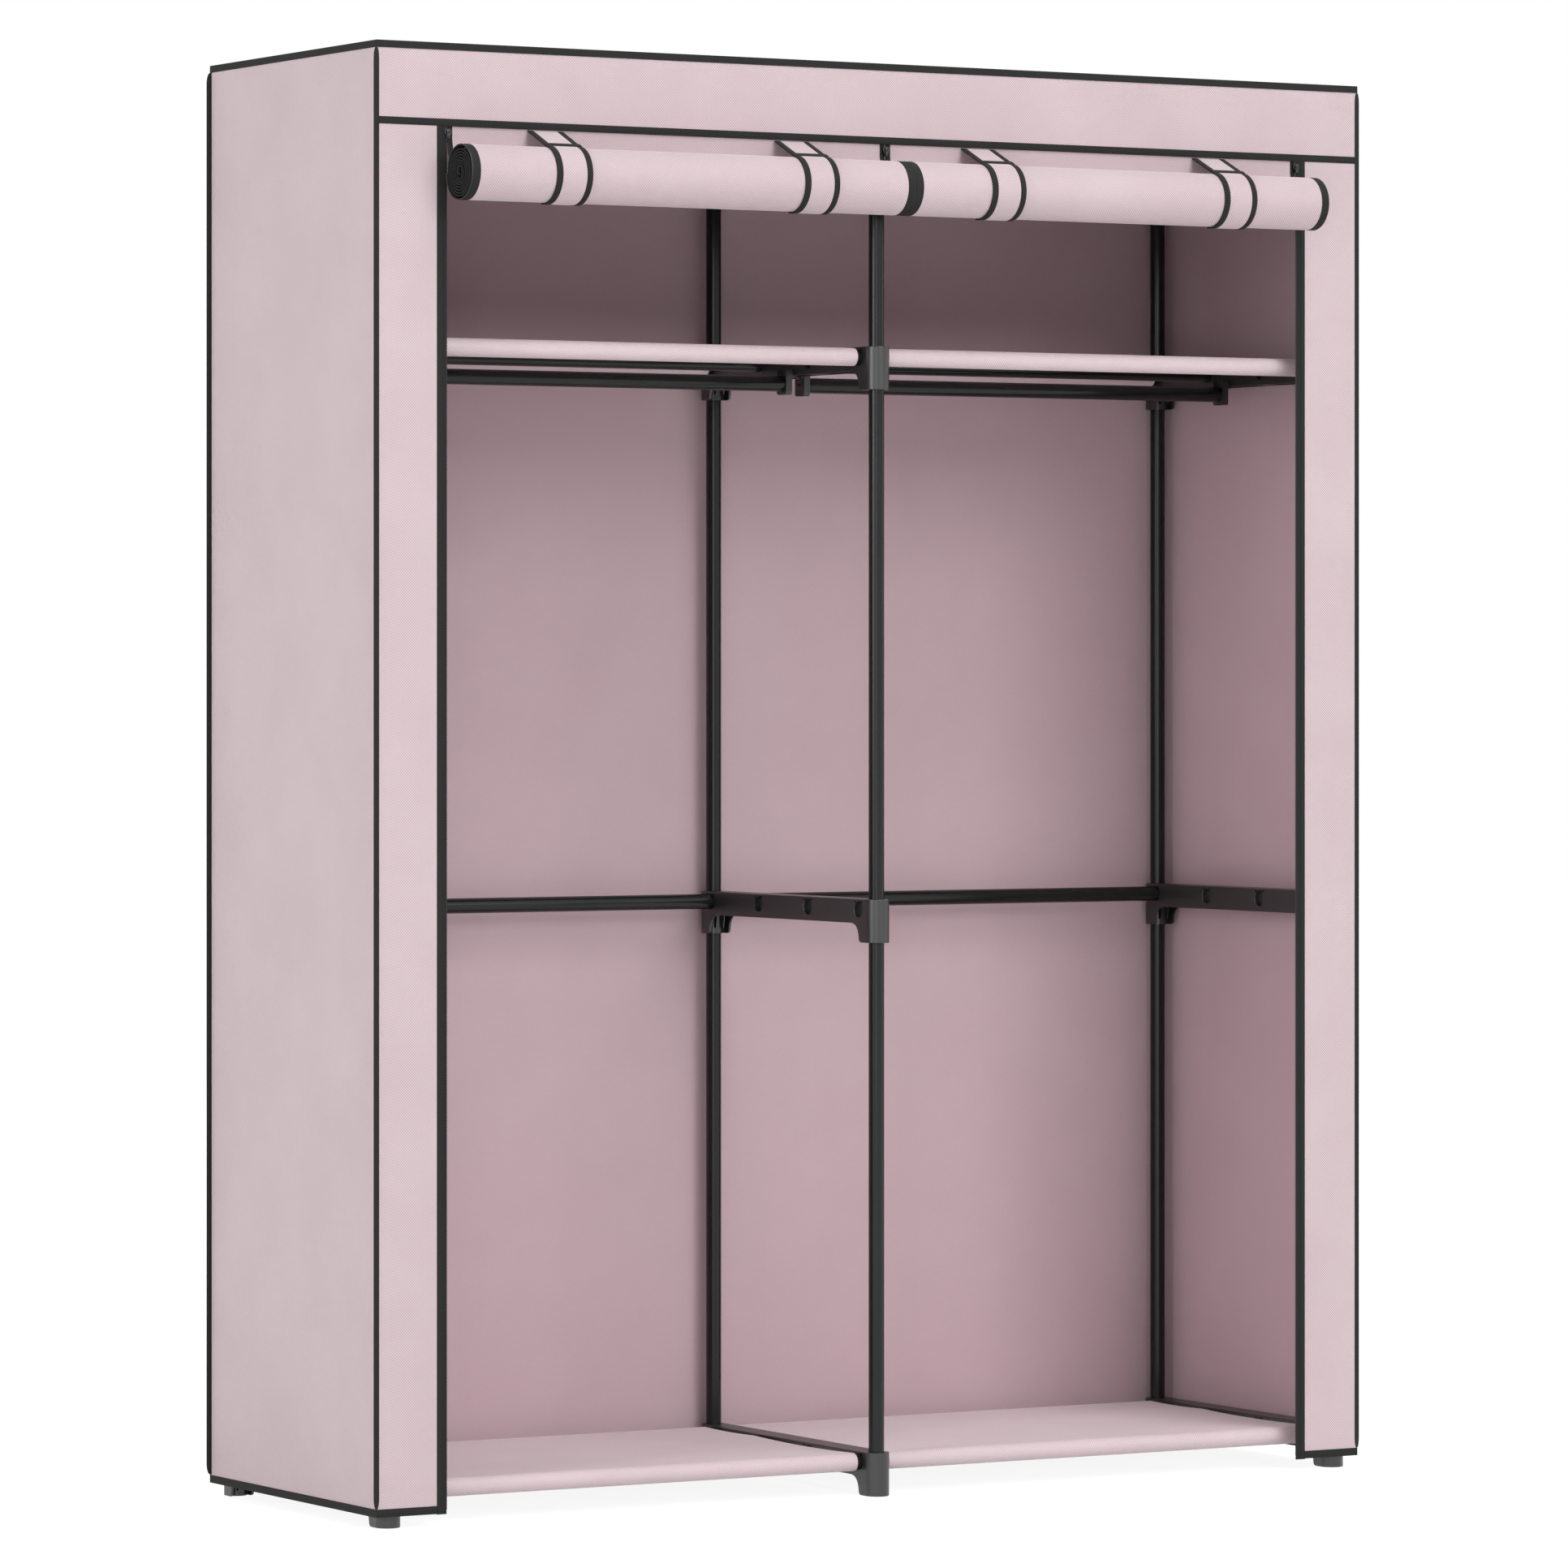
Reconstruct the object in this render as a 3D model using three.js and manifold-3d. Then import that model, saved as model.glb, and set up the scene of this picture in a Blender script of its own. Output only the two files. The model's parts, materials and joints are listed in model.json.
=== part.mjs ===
// A portable fabric wardrobe. Three side frames, each of two steel posts and four moulded brackets,
// are joined by cross tubes into two bays. Cloth shelves hang on the cross tubes, a hanging rod lies
// in hooks under the shelf level of each bay, and a sewn cover is drawn over the frame. Its two doors
// are rolled up outwards and held by straps. Millimetres, +Z up, the front faces -Y, width along X.
// The origin is on the floor, under the middle of the whole, rolls and straps included.
import * as THREE from 'three';
import { mergeVertices } from 'three/addons/utils/BufferGeometryUtils.js';
import Module from 'manifold-3d';

const wasm = await Module();
wasm.setup();

// The cover's outside size, and the cloth it is sewn from
const COVER_WIDTH = 1400;
const COVER_DEPTH = 430;
const COVER_HEIGHT = 1740;
const HEM_HEIGHT = 15; // the cover's lower edge above the floor
const VALANCE_HEIGHT = 96.6; // the strip of front cloth above the doors
const JAMB_WIDTH = 92.5; // the strip of front cloth beside each door
const CLOTH = 1.2; // a panel with its lining and bound edge
const SEAM_GAP = 0.3; // between pieces that are sewn, laid or plugged together

// The frame
const SHELF_END_GAP = 7; // between a cloth shelf and the brackets at its ends
const TUBE_DIAMETER = 19;
const TUBE_WALL = 0.7;
const SIDE_CLEARANCE = 8.3; // between a bracket and the cover's side
const FRONT_CLEARANCE = 4.3; // between a socket's end and the cover's front or back
const SHELF_DROP = 342; // the brackets that carry the upper shelves, below the cover's top
const MIDDLE_LEVEL_SHARE = 0.519; // the middle brackets, up from the floor to the shelf brackets

// A moulded bracket: a beam from front to back with a socket for a post at each end
const BRACKET_WIDTH = 31;
const BEAM_HEIGHT = 29.5;
const SOCKET_HEIGHT = 53;
const SHELL_WALL = 2.8; // the side walls of the moulding
const SLEEVE_WALL = 2.4; // the round sleeve about a post, below the beam
const SLEEVE_SEAT = 4; // how far in from the post's centre the sleeve leaves the solid end
const END_CAP = 3; // what closes the lowest and the highest sockets
const WEB_REACH = 18; // the foot of a socket's side walls, in from the post
const WEB_SPREAD = 9; // how much further in they reach where they meet the beam
const WEB_CORNER = 4;
const CUP_DROP = 12.5; // the cups' centres below the beam's top
const CUP_INSET = 17; // from a post's centre to the nearest cup's centre

// A hook clipped over the lower edge of the beam's side wall, which cradles the end of a hanging rod
const ROD_DROP = 39.9; // the rod's axis below the bracket's top
const ROD_OFFSET = 16.3; // the rods lie this far from the middle, one forward and one back
const HOOK_WIDTH = 14.5;
const HOOK_BASE = 3.6;
const HOOK_CHEEK = 2.8;
const HOOK_STOP = 2.8; // the wall at the rod's end
const HOOK_GRIP = 8; // how far the hook reaches up each side of the beam's wall
const CLIP_WALL = 2;
const CLIP_WIDTH = 12;

// The doors: most of each is rolled up, and a short length hangs from the valance to the roll
const ROLL_DIAMETER = 66;
const ROLL_DROP = 56.4; // the roll's axis below the valance's lower edge
const ROLL_CLOTH = 2.2; // the cloth with its zip tape, as it winds
const ROLL_SPACING = 1.6; // between one turn and the next
const ROLL_CORE = 6; // the least radius that the cloth winds to
const ROLL_LAP_SHARE = 0.25; // of a turn, in which the cloth steps in under its own outer end
const DOOR_GAP = 1; // between the two rolls
const DOOR_LAP = 7; // how far a door's cloth goes up behind the valance

// Straps hold the rolls, and a slider rides on each of the three zips
const STRAP_WIDTH = 48;
const STRAP_GAP = 0.5; // between a strap and the roll in it
const STRAP_DROP = 2.5; // its root below the valance's edge, so that it can swing up past it
const STRAP_LANDING_ANGLE = 10; // degrees forward of the roll's top, where the flap meets the band
const STRAP_WRAP_ANGLE = 190; // degrees forward of the top, where the band ends under the roll
const STRAP_PLACE_SHARES = [-0.78, -0.219, 0.219, 0.78]; // of half the doorway's width
const SLIDER_WIDTH = 9;
const SLIDER_HEIGHT = 12;
const SLIDER_FACE = 3; // front plate and folded pull
const SLIDER_BACK = 1.5;
const SLIDER_WEB = 2;
const SLIDER_DROP = 3.4; // below the valance
const SLIDER_CLEARANCE = 1.2; // between a slider and the roll that it passes behind

// Steps of the round forms
const TUBE_STEPS = 12; // of a tube, and of the bores and cups round it
const SLEEVE_STEPS = 16;
const END_STEPS = 5; // of a quarter of a bracket's round end
const CORNER_STEPS = 3;
const FILLET_STEPS = 5;
const SHELF_STEPS = 6;
const ROLL_STEPS = 16;
const STRAP_STEPS = 18;
const OVERCUT = 1; // how far a cutting tool runs past a face

// Places that follow from the sizes
const tubeRadius = TUBE_DIAMETER / 2;
const boreRadius = tubeRadius + SEAM_GAP;
const halfBracket = BRACKET_WIDTH / 2;
const bayPitch = COVER_WIDTH / 2 - CLOTH - SIDE_CLEARANCE - halfBracket;
const postY = COVER_DEPTH / 2 - CLOTH - FRONT_CLEARANCE - halfBracket;
const topLevel = COVER_HEIGHT - CLOTH - SEAM_GAP;
const shelfLevel = COVER_HEIGHT - SHELF_DROP;
const middleLevel = MIDDLE_LEVEL_SHARE * shelfLevel;
const cupDepth = halfBracket - boreRadius;
const endCupY = postY - CUP_INSET;
const innerCupY = endCupY / 3;
const halfDoorway = COVER_WIDTH / 2 - JAMB_WIDTH;
const valanceBottom = COVER_HEIGHT - VALANCE_HEIGHT;
const rollRadius = ROLL_DIAMETER / 2;
const rollPitch = ROLL_CLOTH + ROLL_SPACING;
const rollTurns = Math.floor((rollRadius - ROLL_CORE) / rollPitch);
const rollY = -(COVER_DEPTH / 2 + SEAM_GAP + SLIDER_FACE + SLIDER_CLEARANCE + rollRadius);
const rollZ = valanceBottom - ROLL_DROP;
const strapReach = -rollY + rollRadius + STRAP_GAP + CLOTH;

// Materials
const PINK_CLOTH = new THREE.MeshStandardMaterial({ color: 0xd9c3c8, roughness: 0.9, metalness: 0 });
const STEEL = new THREE.MeshStandardMaterial({ color: 0x2c2e2e, roughness: 0.45, metalness: 0.5 });
const MOULDED = new THREE.MeshStandardMaterial({ color: 0x333535, roughness: 0.6, metalness: 0 });
const ZIP_METAL = new THREE.MeshStandardMaterial({ color: 0x202222, roughness: 0.4, metalness: 0.7 });

const X_AXIS = new THREE.Vector3(1, 0, 0);
const Y_AXIS = new THREE.Vector3(0, 1, 0);
const Z_AXIS = new THREE.Vector3(0, 0, 1);

// Everything hangs in one group, which moves the cover's own middle so that the origin is under the
// middle of the whole
const wardrobe = new THREE.Group();
const assembly = new THREE.Group();
assembly.position.y = (strapReach - COVER_DEPTH / 2) / 2;
wardrobe.add(assembly);

function add(name, geometry, material, x = 0, y = 0, z = 0) {
  const mesh = new THREE.Mesh(geometry, material.clone());
  mesh.name = name;
  mesh.position.set(x, y, z);
  assembly.add(mesh);
}

// A closed three.js geometry as a solid that can be cut and joined, and back again
function solid(geometry) {
  const bare = geometry.clone();
  bare.deleteAttribute('normal');
  bare.deleteAttribute('uv');
  const merged = mergeVertices(bare);
  return new wasm.Manifold(new wasm.Mesh({
    numProp: 3,
    vertProperties: new Float32Array(merged.attributes.position.array),
    triVerts: new Uint32Array(merged.index.array),
  }));
}

function geometryOf(body) {
  const mesh = body.getMesh();
  const corners = new Float32Array(mesh.vertProperties);
  const geometry = new THREE.BufferGeometry();
  geometry.setAttribute('position', new THREE.BufferAttribute(corners, mesh.numProp));
  geometry.setIndex(new THREE.BufferAttribute(new Uint32Array(mesh.triVerts), 1));
  geometry.computeVertexNormals();
  return geometry;
}

// A box between two corners, and round bars along Z and along X
function box(low, high) {
  const size = high.map((value, i) => value - low[i]);
  const middle = high.map((value, i) => (value + low[i]) / 2);
  return new THREE.BoxGeometry(...size).translate(...middle);
}

function uprightBar(radius, y, low, high, steps) {
  return new THREE.CylinderGeometry(radius, radius, high - low, steps)
    .rotateX(Math.PI / 2)
    .translate(0, y, (low + high) / 2);
}

function crossBar(radius, from, to, y, z, steps) {
  return new THREE.CylinderGeometry(radius, radius, to - from, steps)
    .rotateZ(Math.PI / 2)
    .translate((from + to) / 2, y, z);
}

// A profile drawn in Y and Z, run along X from one place to another
function alongX(shape, from, to, curveSegments = 1) {
  const across = new THREE.Matrix4().makeBasis(Y_AXIS, Z_AXIS, X_AXIS);
  return new THREE.ExtrudeGeometry(shape, { depth: to - from, bevelEnabled: false, curveSegments })
    .applyMatrix4(across)
    .translate(from, 0, 0);
}

// The outline of a sheet of cloth seen on edge: a line of points with the cloth's thickness
function sheetOutline(line, thickness) {
  const sides = [1, -1].map((side) => line.map((point, i) => {
    const before = line[Math.max(i - 1, 0)];
    const after = line[Math.min(i + 1, line.length - 1)];
    const arriving = point.clone().sub(before).normalize();
    const leaving = after.clone().sub(point).normalize();
    const along = arriving.clone().add(leaving).normalize();
    const run = i === 0 ? leaving : arriving;
    const reach = (side * thickness) / 2 / along.dot(run);
    return new THREE.Vector2(point.x - along.y * reach, point.y + along.x * reach);
  }));
  return [...sides[0], ...sides[1].reverse()];
}

// A steel tube along Z, open at both ends
function tube(length) {
  const inside = tubeRadius - TUBE_WALL;
  const ring = [[inside, 0], [tubeRadius, 0], [tubeRadius, length], [inside, length], [inside, 0]];
  return new THREE.LatheGeometry(ring.map(([r, along]) => new THREE.Vector2(r, along)), TUBE_STEPS)
    .rotateX(Math.PI / 2);
}

// Bracket: one moulding, drawn about its middle with the beam's top at height 0. Cups for the cross
// tubes are sunk in the faces that look into a bay, and the ends are bored for the posts.
function bracketProfile() {
  const end = postY + halfBracket;
  const foot = postY - WEB_REACH;
  const corner = new THREE.QuadraticBezierCurve(
    new THREE.Vector2(foot + WEB_CORNER, -SOCKET_HEIGHT),
    new THREE.Vector2(foot, -SOCKET_HEIGHT),
    new THREE.Vector2(foot, WEB_CORNER - SOCKET_HEIGHT),
  );
  const fillet = new THREE.QuadraticBezierCurve(
    new THREE.Vector2(foot, WEB_CORNER - SOCKET_HEIGHT),
    new THREE.Vector2(foot - WEB_SPREAD / 3, -BEAM_HEIGHT),
    new THREE.Vector2(foot - WEB_SPREAD, -BEAM_HEIGHT),
  );
  const rear = [
    new THREE.Vector2(end, 0),
    new THREE.Vector2(end, -SOCKET_HEIGHT),
    ...corner.getPoints(CORNER_STEPS),
    ...fillet.getPoints(FILLET_STEPS).slice(1),
  ];
  const front = rear.map((point) => new THREE.Vector2(-point.x, point.y)).reverse();
  return new THREE.Shape([...rear, ...front]);
}

function bracketPlan() {
  const plan = new THREE.Shape();
  plan.absarc(0, postY, halfBracket, 0, Math.PI);
  plan.absarc(0, -postY, halfBracket, Math.PI, 2 * Math.PI);
  return plan;
}

function bracket(closedEnd, cupSides) {
  const run = alongX(bracketProfile(), -halfBracket, halfBracket);
  const upright = new THREE.ExtrudeGeometry(bracketPlan(), {
    depth: SOCKET_HEIGHT + 2 * OVERCUT, bevelEnabled: false, curveSegments: END_STEPS,
  }).translate(0, 0, -SOCKET_HEIGHT - OVERCUT);
  let body = solid(run).intersect(solid(upright));

  // Below the beam each socket is a round sleeve between two side walls
  const halfHollow = halfBracket - SHELL_WALL;
  for (const end of [-1, 1]) {
    const inner = end * (postY - WEB_REACH - WEB_SPREAD - OVERCUT);
    const outer = end * (postY - SLEEVE_SEAT);
    const hollow = solid(box(
      [-halfHollow, Math.min(inner, outer), -SOCKET_HEIGHT - OVERCUT],
      [halfHollow, Math.max(inner, outer), -BEAM_HEIGHT],
    ));
    const sleeve = uprightBar(
      boreRadius + SLEEVE_WALL, end * postY, -SOCKET_HEIGHT - 2 * OVERCUT, 0, SLEEVE_STEPS,
    );
    body = body.subtract(hollow.subtract(solid(sleeve)));
    const low = closedEnd === 'low' ? END_CAP - SOCKET_HEIGHT : -SOCKET_HEIGHT - OVERCUT;
    const high = closedEnd === 'high' ? -END_CAP : OVERCUT;
    body = body.subtract(solid(uprightBar(boreRadius, end * postY, low, high, TUBE_STEPS)));
  }

  // Three hollows under the beam, between the cups
  const rim = boreRadius + SHELL_WALL;
  for (const [from, to] of [[-endCupY, -innerCupY], [-innerCupY, innerCupY], [innerCupY, endCupY]]) {
    body = body.subtract(solid(box(
      [-halfHollow, from + rim, -BEAM_HEIGHT - OVERCUT], [halfHollow, to - rim, -SHELL_WALL],
    )));
  }

  for (const side of cupSides) {
    const bottom = side * (halfBracket - cupDepth);
    const mouth = side * (halfBracket + OVERCUT);
    const [from, to] = side < 0 ? [mouth, bottom] : [bottom, mouth];
    for (const y of [-endCupY, -innerCupY, innerCupY, endCupY]) {
      body = body.subtract(solid(crossBar(boreRadius, from, to, y, -CUP_DROP, TUBE_STEPS)));
    }
  }
  return geometryOf(body);
}

const FRAMES = [
  { name: 'left', x: -bayPitch, cupSides: [1] },
  { name: 'centre', x: 0, cupSides: [-1, 1] },
  { name: 'right', x: bayPitch, cupSides: [-1] },
];
const LEVELS = [
  { name: 'bottom', top: SOCKET_HEIGHT, closedEnd: 'low' },
  { name: 'middle', top: middleLevel, closedEnd: 'none' },
  { name: 'shelf', top: shelfLevel, closedEnd: 'none' },
  { name: 'top', top: topLevel, closedEnd: 'high' },
];
for (const frame of FRAMES) {
  for (const level of LEVELS) {
    const moulding = bracket(level.closedEnd, frame.cupSides);
    add(`bracket_${frame.name}_${level.name}`, moulding, MOULDED, frame.x, 0, level.top);
  }
}

// Posts: the three lengths of tube of a real post meet inside the sockets, so one solid has them all
const postFoot = END_CAP + SEAM_GAP;
const postLength = topLevel - END_CAP - SEAM_GAP - postFoot;
for (const frame of FRAMES) {
  add(`post_${frame.name}_front`, tube(postLength), STEEL, frame.x, -postY, postFoot);
  add(`post_${frame.name}_rear`, tube(postLength), STEEL, frame.x, postY, postFoot);
}

// Cross tubes: plugged into the cups of two brackets. One under the rear half of each shelf keeps
// its cloth up, and only the rear cups hold a tube at the middle level.
const crossInset = halfBracket - cupDepth + SEAM_GAP;
const crossLength = bayPitch - 2 * crossInset;
const CROSS_TUBES = [
  { level: 'bottom', top: SOCKET_HEIGHT, places: { front: -endCupY, support: innerCupY, rear: endCupY } },
  { level: 'middle', top: middleLevel, places: { rear: endCupY } },
  { level: 'shelf', top: shelfLevel, places: { front: -endCupY, support: innerCupY, rear: endCupY } },
  { level: 'top', top: topLevel, places: { front: -endCupY, rear: endCupY } },
];
const BAYS = [{ name: 'left', side: -1 }, { name: 'right', side: 1 }];
for (const bay of BAYS) {
  const start = (bay.side < 0 ? -bayPitch : 0) + crossInset;
  for (const { level, top, places } of CROSS_TUBES) {
    for (const [place, y] of Object.entries(places)) {
      const bar = tube(crossLength).rotateY(Math.PI / 2);
      add(`cross_tube_${bay.name}_${level}_${place}`, bar, STEEL, start, y, top - CUP_DROP);
    }
  }
}

// Hooks: a cradle beside the beam, with a wall at the rod's end and a clip that goes up inside the
// beam's side wall. Drawn for a rod that runs towards +X, and turned half round for the other end.
// The two bays' rods lie to opposite sides of the middle, so that their hooks clear each other.
const rodZ = shelfLevel - ROD_DROP;
const hookFace = halfBracket + SEAM_GAP;
const hookMouth = hookFace + HOOK_WIDTH;
const rodInset = hookFace + HOOK_STOP + SEAM_GAP;
const beamUnderside = shelfLevel - BEAM_HEIGHT - rodZ;
function hook() {
  const halfCradle = boreRadius + HOOK_CHEEK;
  const base = -boreRadius - HOOK_BASE;
  const top = beamUnderside + HOOK_GRIP;
  const clipFace = halfBracket - SHELL_WALL - SEAM_GAP;
  const clipBack = clipFace - CLIP_WALL;
  const cradle = box([hookFace, -halfCradle, base], [hookMouth, halfCradle, top]);
  const foot = box(
    [clipBack, -CLIP_WIDTH / 2, base], [hookFace + HOOK_STOP, CLIP_WIDTH / 2, beamUnderside - SEAM_GAP],
  );
  const clip = box([clipBack, -CLIP_WIDTH / 2, base], [clipFace, CLIP_WIDTH / 2, top]);
  const stop = hookFace + HOOK_STOP;
  const round = crossBar(boreRadius, stop, hookMouth + OVERCUT, 0, 0, TUBE_STEPS);
  const slot = box([stop, -boreRadius, 0], [hookMouth + OVERCUT, boreRadius, top + OVERCUT]);
  return geometryOf(
    solid(cradle).add(solid(foot)).add(solid(clip)).subtract(solid(round)).subtract(solid(slot)),
  );
}
for (const bay of BAYS) {
  const left = bay.side < 0 ? -bayPitch : 0;
  const right = left + bayPitch;
  const rodY = bay.side * ROD_OFFSET;
  const rod = tube(bayPitch - 2 * rodInset).rotateY(Math.PI / 2);
  add(`rod_hook_${bay.name}_bay_left`, hook(), MOULDED, left, rodY, rodZ);
  add(`rod_hook_${bay.name}_bay_right`, hook().rotateZ(Math.PI), MOULDED, right, rodY, rodZ);
  add(`hanging_rod_${bay.name}`, rod, STEEL, left + rodInset, rodY, rodZ);
}

// Cloth shelves: a flat sheet with a sewn sleeve along its front and its rear edge, each drawn over
// a cross tube. Seen on edge it is one outline with two round holes.
function shelfShape() {
  const outer = boreRadius + CLOTH;
  const meeting = Math.asin(boreRadius / outer);
  const shape = new THREE.Shape();
  shape.absarc(endCupY, 0, outer, Math.PI / 2, Math.PI - meeting, true);
  shape.absarc(-endCupY, 0, outer, meeting, Math.PI / 2, true);
  for (const y of [-endCupY, endCupY]) {
    const sleeve = new THREE.Path();
    sleeve.absarc(y, 0, boreRadius, 0, 2 * Math.PI);
    shape.holes.push(sleeve);
  }
  return shape;
}
const shelfStart = halfBracket + SHELF_END_GAP;
for (const bay of BAYS) {
  const left = bay.side < 0 ? -bayPitch : 0;
  for (const [level, top] of [['lower', SOCKET_HEIGHT], ['upper', shelfLevel]]) {
    const cloth = alongX(shelfShape(), shelfStart, bayPitch - shelfStart, SHELF_STEPS);
    add(`shelf_cloth_${bay.name}_${level}`, cloth, PINK_CLOTH, left, 0, top - CUP_DROP);
  }
}

// Cover: the sides and the back are one sheet round three edges of the frame, the top lies on the
// frame, and the front is a valance with a jamb at each side of the doorway
const halfWidth = COVER_WIDTH / 2;
const halfDepth = COVER_DEPTH / 2;
const wallTop = COVER_HEIGHT - CLOTH - SEAM_GAP;
const wallLine = [
  new THREE.Vector2(halfWidth - CLOTH / 2, -halfDepth + CLOTH + SEAM_GAP),
  new THREE.Vector2(halfWidth - CLOTH / 2, halfDepth - CLOTH / 2),
  new THREE.Vector2(-halfWidth + CLOTH / 2, halfDepth - CLOTH / 2),
  new THREE.Vector2(-halfWidth + CLOTH / 2, -halfDepth + CLOTH + SEAM_GAP),
];
const walls = new THREE.ExtrudeGeometry(new THREE.Shape(sheetOutline(wallLine, CLOTH)), {
  depth: wallTop - HEM_HEIGHT, bevelEnabled: false,
});
add('cover_sides_and_back', walls, PINK_CLOTH, 0, 0, HEM_HEIGHT);

const roof = new THREE.BoxGeometry(COVER_WIDTH, COVER_DEPTH, CLOTH);
add('cover_top', roof, PINK_CLOTH, 0, 0, COVER_HEIGHT - CLOTH / 2);

const frontOutline = new THREE.Shape([
  new THREE.Vector2(-halfWidth, HEM_HEIGHT),
  new THREE.Vector2(-halfDoorway, HEM_HEIGHT),
  new THREE.Vector2(-halfDoorway, valanceBottom),
  new THREE.Vector2(halfDoorway, valanceBottom),
  new THREE.Vector2(halfDoorway, HEM_HEIGHT),
  new THREE.Vector2(halfWidth, HEM_HEIGHT),
  new THREE.Vector2(halfWidth, wallTop),
  new THREE.Vector2(-halfWidth, wallTop),
]);
const front = new THREE.ExtrudeGeometry(frontOutline, { depth: CLOTH, bevelEnabled: false })
  .rotateX(Math.PI / 2);
add('cover_front', front, PINK_CLOTH, 0, CLOTH - halfDepth, 0);

// Doors: each roll is one sheet, wound from its outer end at the back, under and forward.
// The short length above it hangs inside the valance, straight beside the sliders, then leans out.
function rollLine() {
  const radii = [];
  for (let i = 0; i <= rollTurns * ROLL_STEPS; i += 1) {
    const turn = i / ROLL_STEPS;
    const lapped = THREE.MathUtils.clamp((turn - 1) / ROLL_LAP_SHARE + 1, 0, 1);
    radii.push(rollRadius - ROLL_CLOTH / 2 - rollPitch * (lapped + Math.max(turn - 1, 0)));
  }
  return radii.map((radius, i) => {
    const angle = (-2 * Math.PI * i) / ROLL_STEPS;
    return new THREE.Vector2(radius * Math.cos(angle), radius * Math.sin(angle));
  });
}

function leastGap(outline, stepsPerTurn) {
  const count = outline.length / 2;
  let least = Infinity;
  for (let i = 0; i < count; i += 1) {
    for (let j = 0; j < count; j += 1) {
      if (Math.abs(i - j) > stepsPerTurn / 2) {
        least = Math.min(least, outline[i].distanceTo(outline[outline.length - 1 - j]));
      }
    }
  }
  return least;
}

const rollOutline = sheetOutline(rollLine(), ROLL_CLOTH);
console.log(`least gap of a door roll to itself: ${leastGap(rollOutline, ROLL_STEPS).toFixed(2)} mm`);
const doorStart = DOOR_GAP / 2;
const doorEnd = halfDoorway - SEAM_GAP;
const zipHalfWidth = SLIDER_WEB / 2 + SEAM_GAP;
const hangY = -halfDepth + CLOTH + SEAM_GAP + CLOTH / 2;
const hangLine = [
  new THREE.Vector2(hangY, valanceBottom + DOOR_LAP),
  new THREE.Vector2(hangY, valanceBottom - SLIDER_DROP - SLIDER_HEIGHT),
  new THREE.Vector2(rollY + rollRadius - ROLL_CLOTH / 2, rollZ + 2 * SEAM_GAP),
];
const hangShape = new THREE.Shape(sheetOutline(hangLine, CLOTH));
for (const bay of BAYS) {
  const rollFrom = bay.side < 0 ? -doorEnd : doorStart;
  const roll = alongX(new THREE.Shape(rollOutline), rollFrom, rollFrom + doorEnd - doorStart);
  add(`door_roll_${bay.name}`, roll, PINK_CLOTH, 0, rollY, rollZ);
  const hangEnd = halfDoorway - 2 * zipHalfWidth;
  const hangFrom = bay.side < 0 ? -hangEnd : zipHalfWidth;
  const hang = alongX(hangShape, hangFrom, hangFrom + hangEnd - zipHalfWidth);
  add(`door_hanging_${bay.name}`, hang, PINK_CLOTH);
}

// Straps: sewn under the valance's edge, each runs forward to the roll as a flap and then round the
// roll's front and under it as a band
const strapRoot = new THREE.Vector2(-halfDepth + CLOTH / 2, valanceBottom - STRAP_DROP);
const strapLine = [strapRoot];
for (let i = 0; i <= STRAP_STEPS; i += 1) {
  const share = i / STRAP_STEPS;
  const degrees = STRAP_LANDING_ANGLE + share * (STRAP_WRAP_ANGLE - STRAP_LANDING_ANGLE);
  const angle = THREE.MathUtils.degToRad(degrees);
  const radius = rollRadius + STRAP_GAP + CLOTH / 2;
  strapLine.push(new THREE.Vector2(rollY - radius * Math.sin(angle), rollZ + radius * Math.cos(angle)));
}
const strapShape = new THREE.Shape(sheetOutline(strapLine, CLOTH));
const STRAP_NAMES = ['left_outer', 'left_inner', 'right_inner', 'right_outer'];
STRAP_PLACE_SHARES.forEach((share, i) => {
  const strap = alongX(strapShape, -STRAP_WIDTH / 2, STRAP_WIDTH / 2);
  add(`roll_strap_${STRAP_NAMES[i]}`, strap, PINK_CLOTH, share * halfDoorway);
});

// Zip sliders: a plate in front of the two tape edges and one behind them, joined by a web between
const sliderTop = valanceBottom - SLIDER_DROP;
function slider() {
  const half = SLIDER_WIDTH / 2;
  const bottom = sliderTop - SLIDER_HEIGHT;
  const frontFace = -halfDepth - SEAM_GAP;
  const backFace = hangY + CLOTH / 2 + SEAM_GAP;
  const facePlate = box([-half, frontFace - SLIDER_FACE, bottom], [half, frontFace, sliderTop]);
  const backPlate = box([-half, backFace, bottom], [half, backFace + SLIDER_BACK, sliderTop]);
  const web = box(
    [-SLIDER_WEB / 2, frontFace - SLIDER_FACE / 2, bottom],
    [SLIDER_WEB / 2, backFace + SLIDER_BACK / 2, sliderTop],
  );
  return geometryOf(solid(facePlate).add(solid(backPlate)).add(solid(web)));
}
const zipLine = halfDoorway - zipHalfWidth;
add('zip_slider_left', slider(), ZIP_METAL, -zipLine);
add('zip_slider_centre', slider(), ZIP_METAL);
add('zip_slider_right', slider(), ZIP_METAL, zipLine);

export default wardrobe;
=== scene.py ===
# A portable fabric wardrobe: coated steel tubes plugged into moulded brackets, inside a sewn cover
# whose two zipped doors are rolled up under straps. The sections follow the order it is put together.
import json
import math

import bmesh
import bpy
from mathutils import Matrix, Vector


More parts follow.
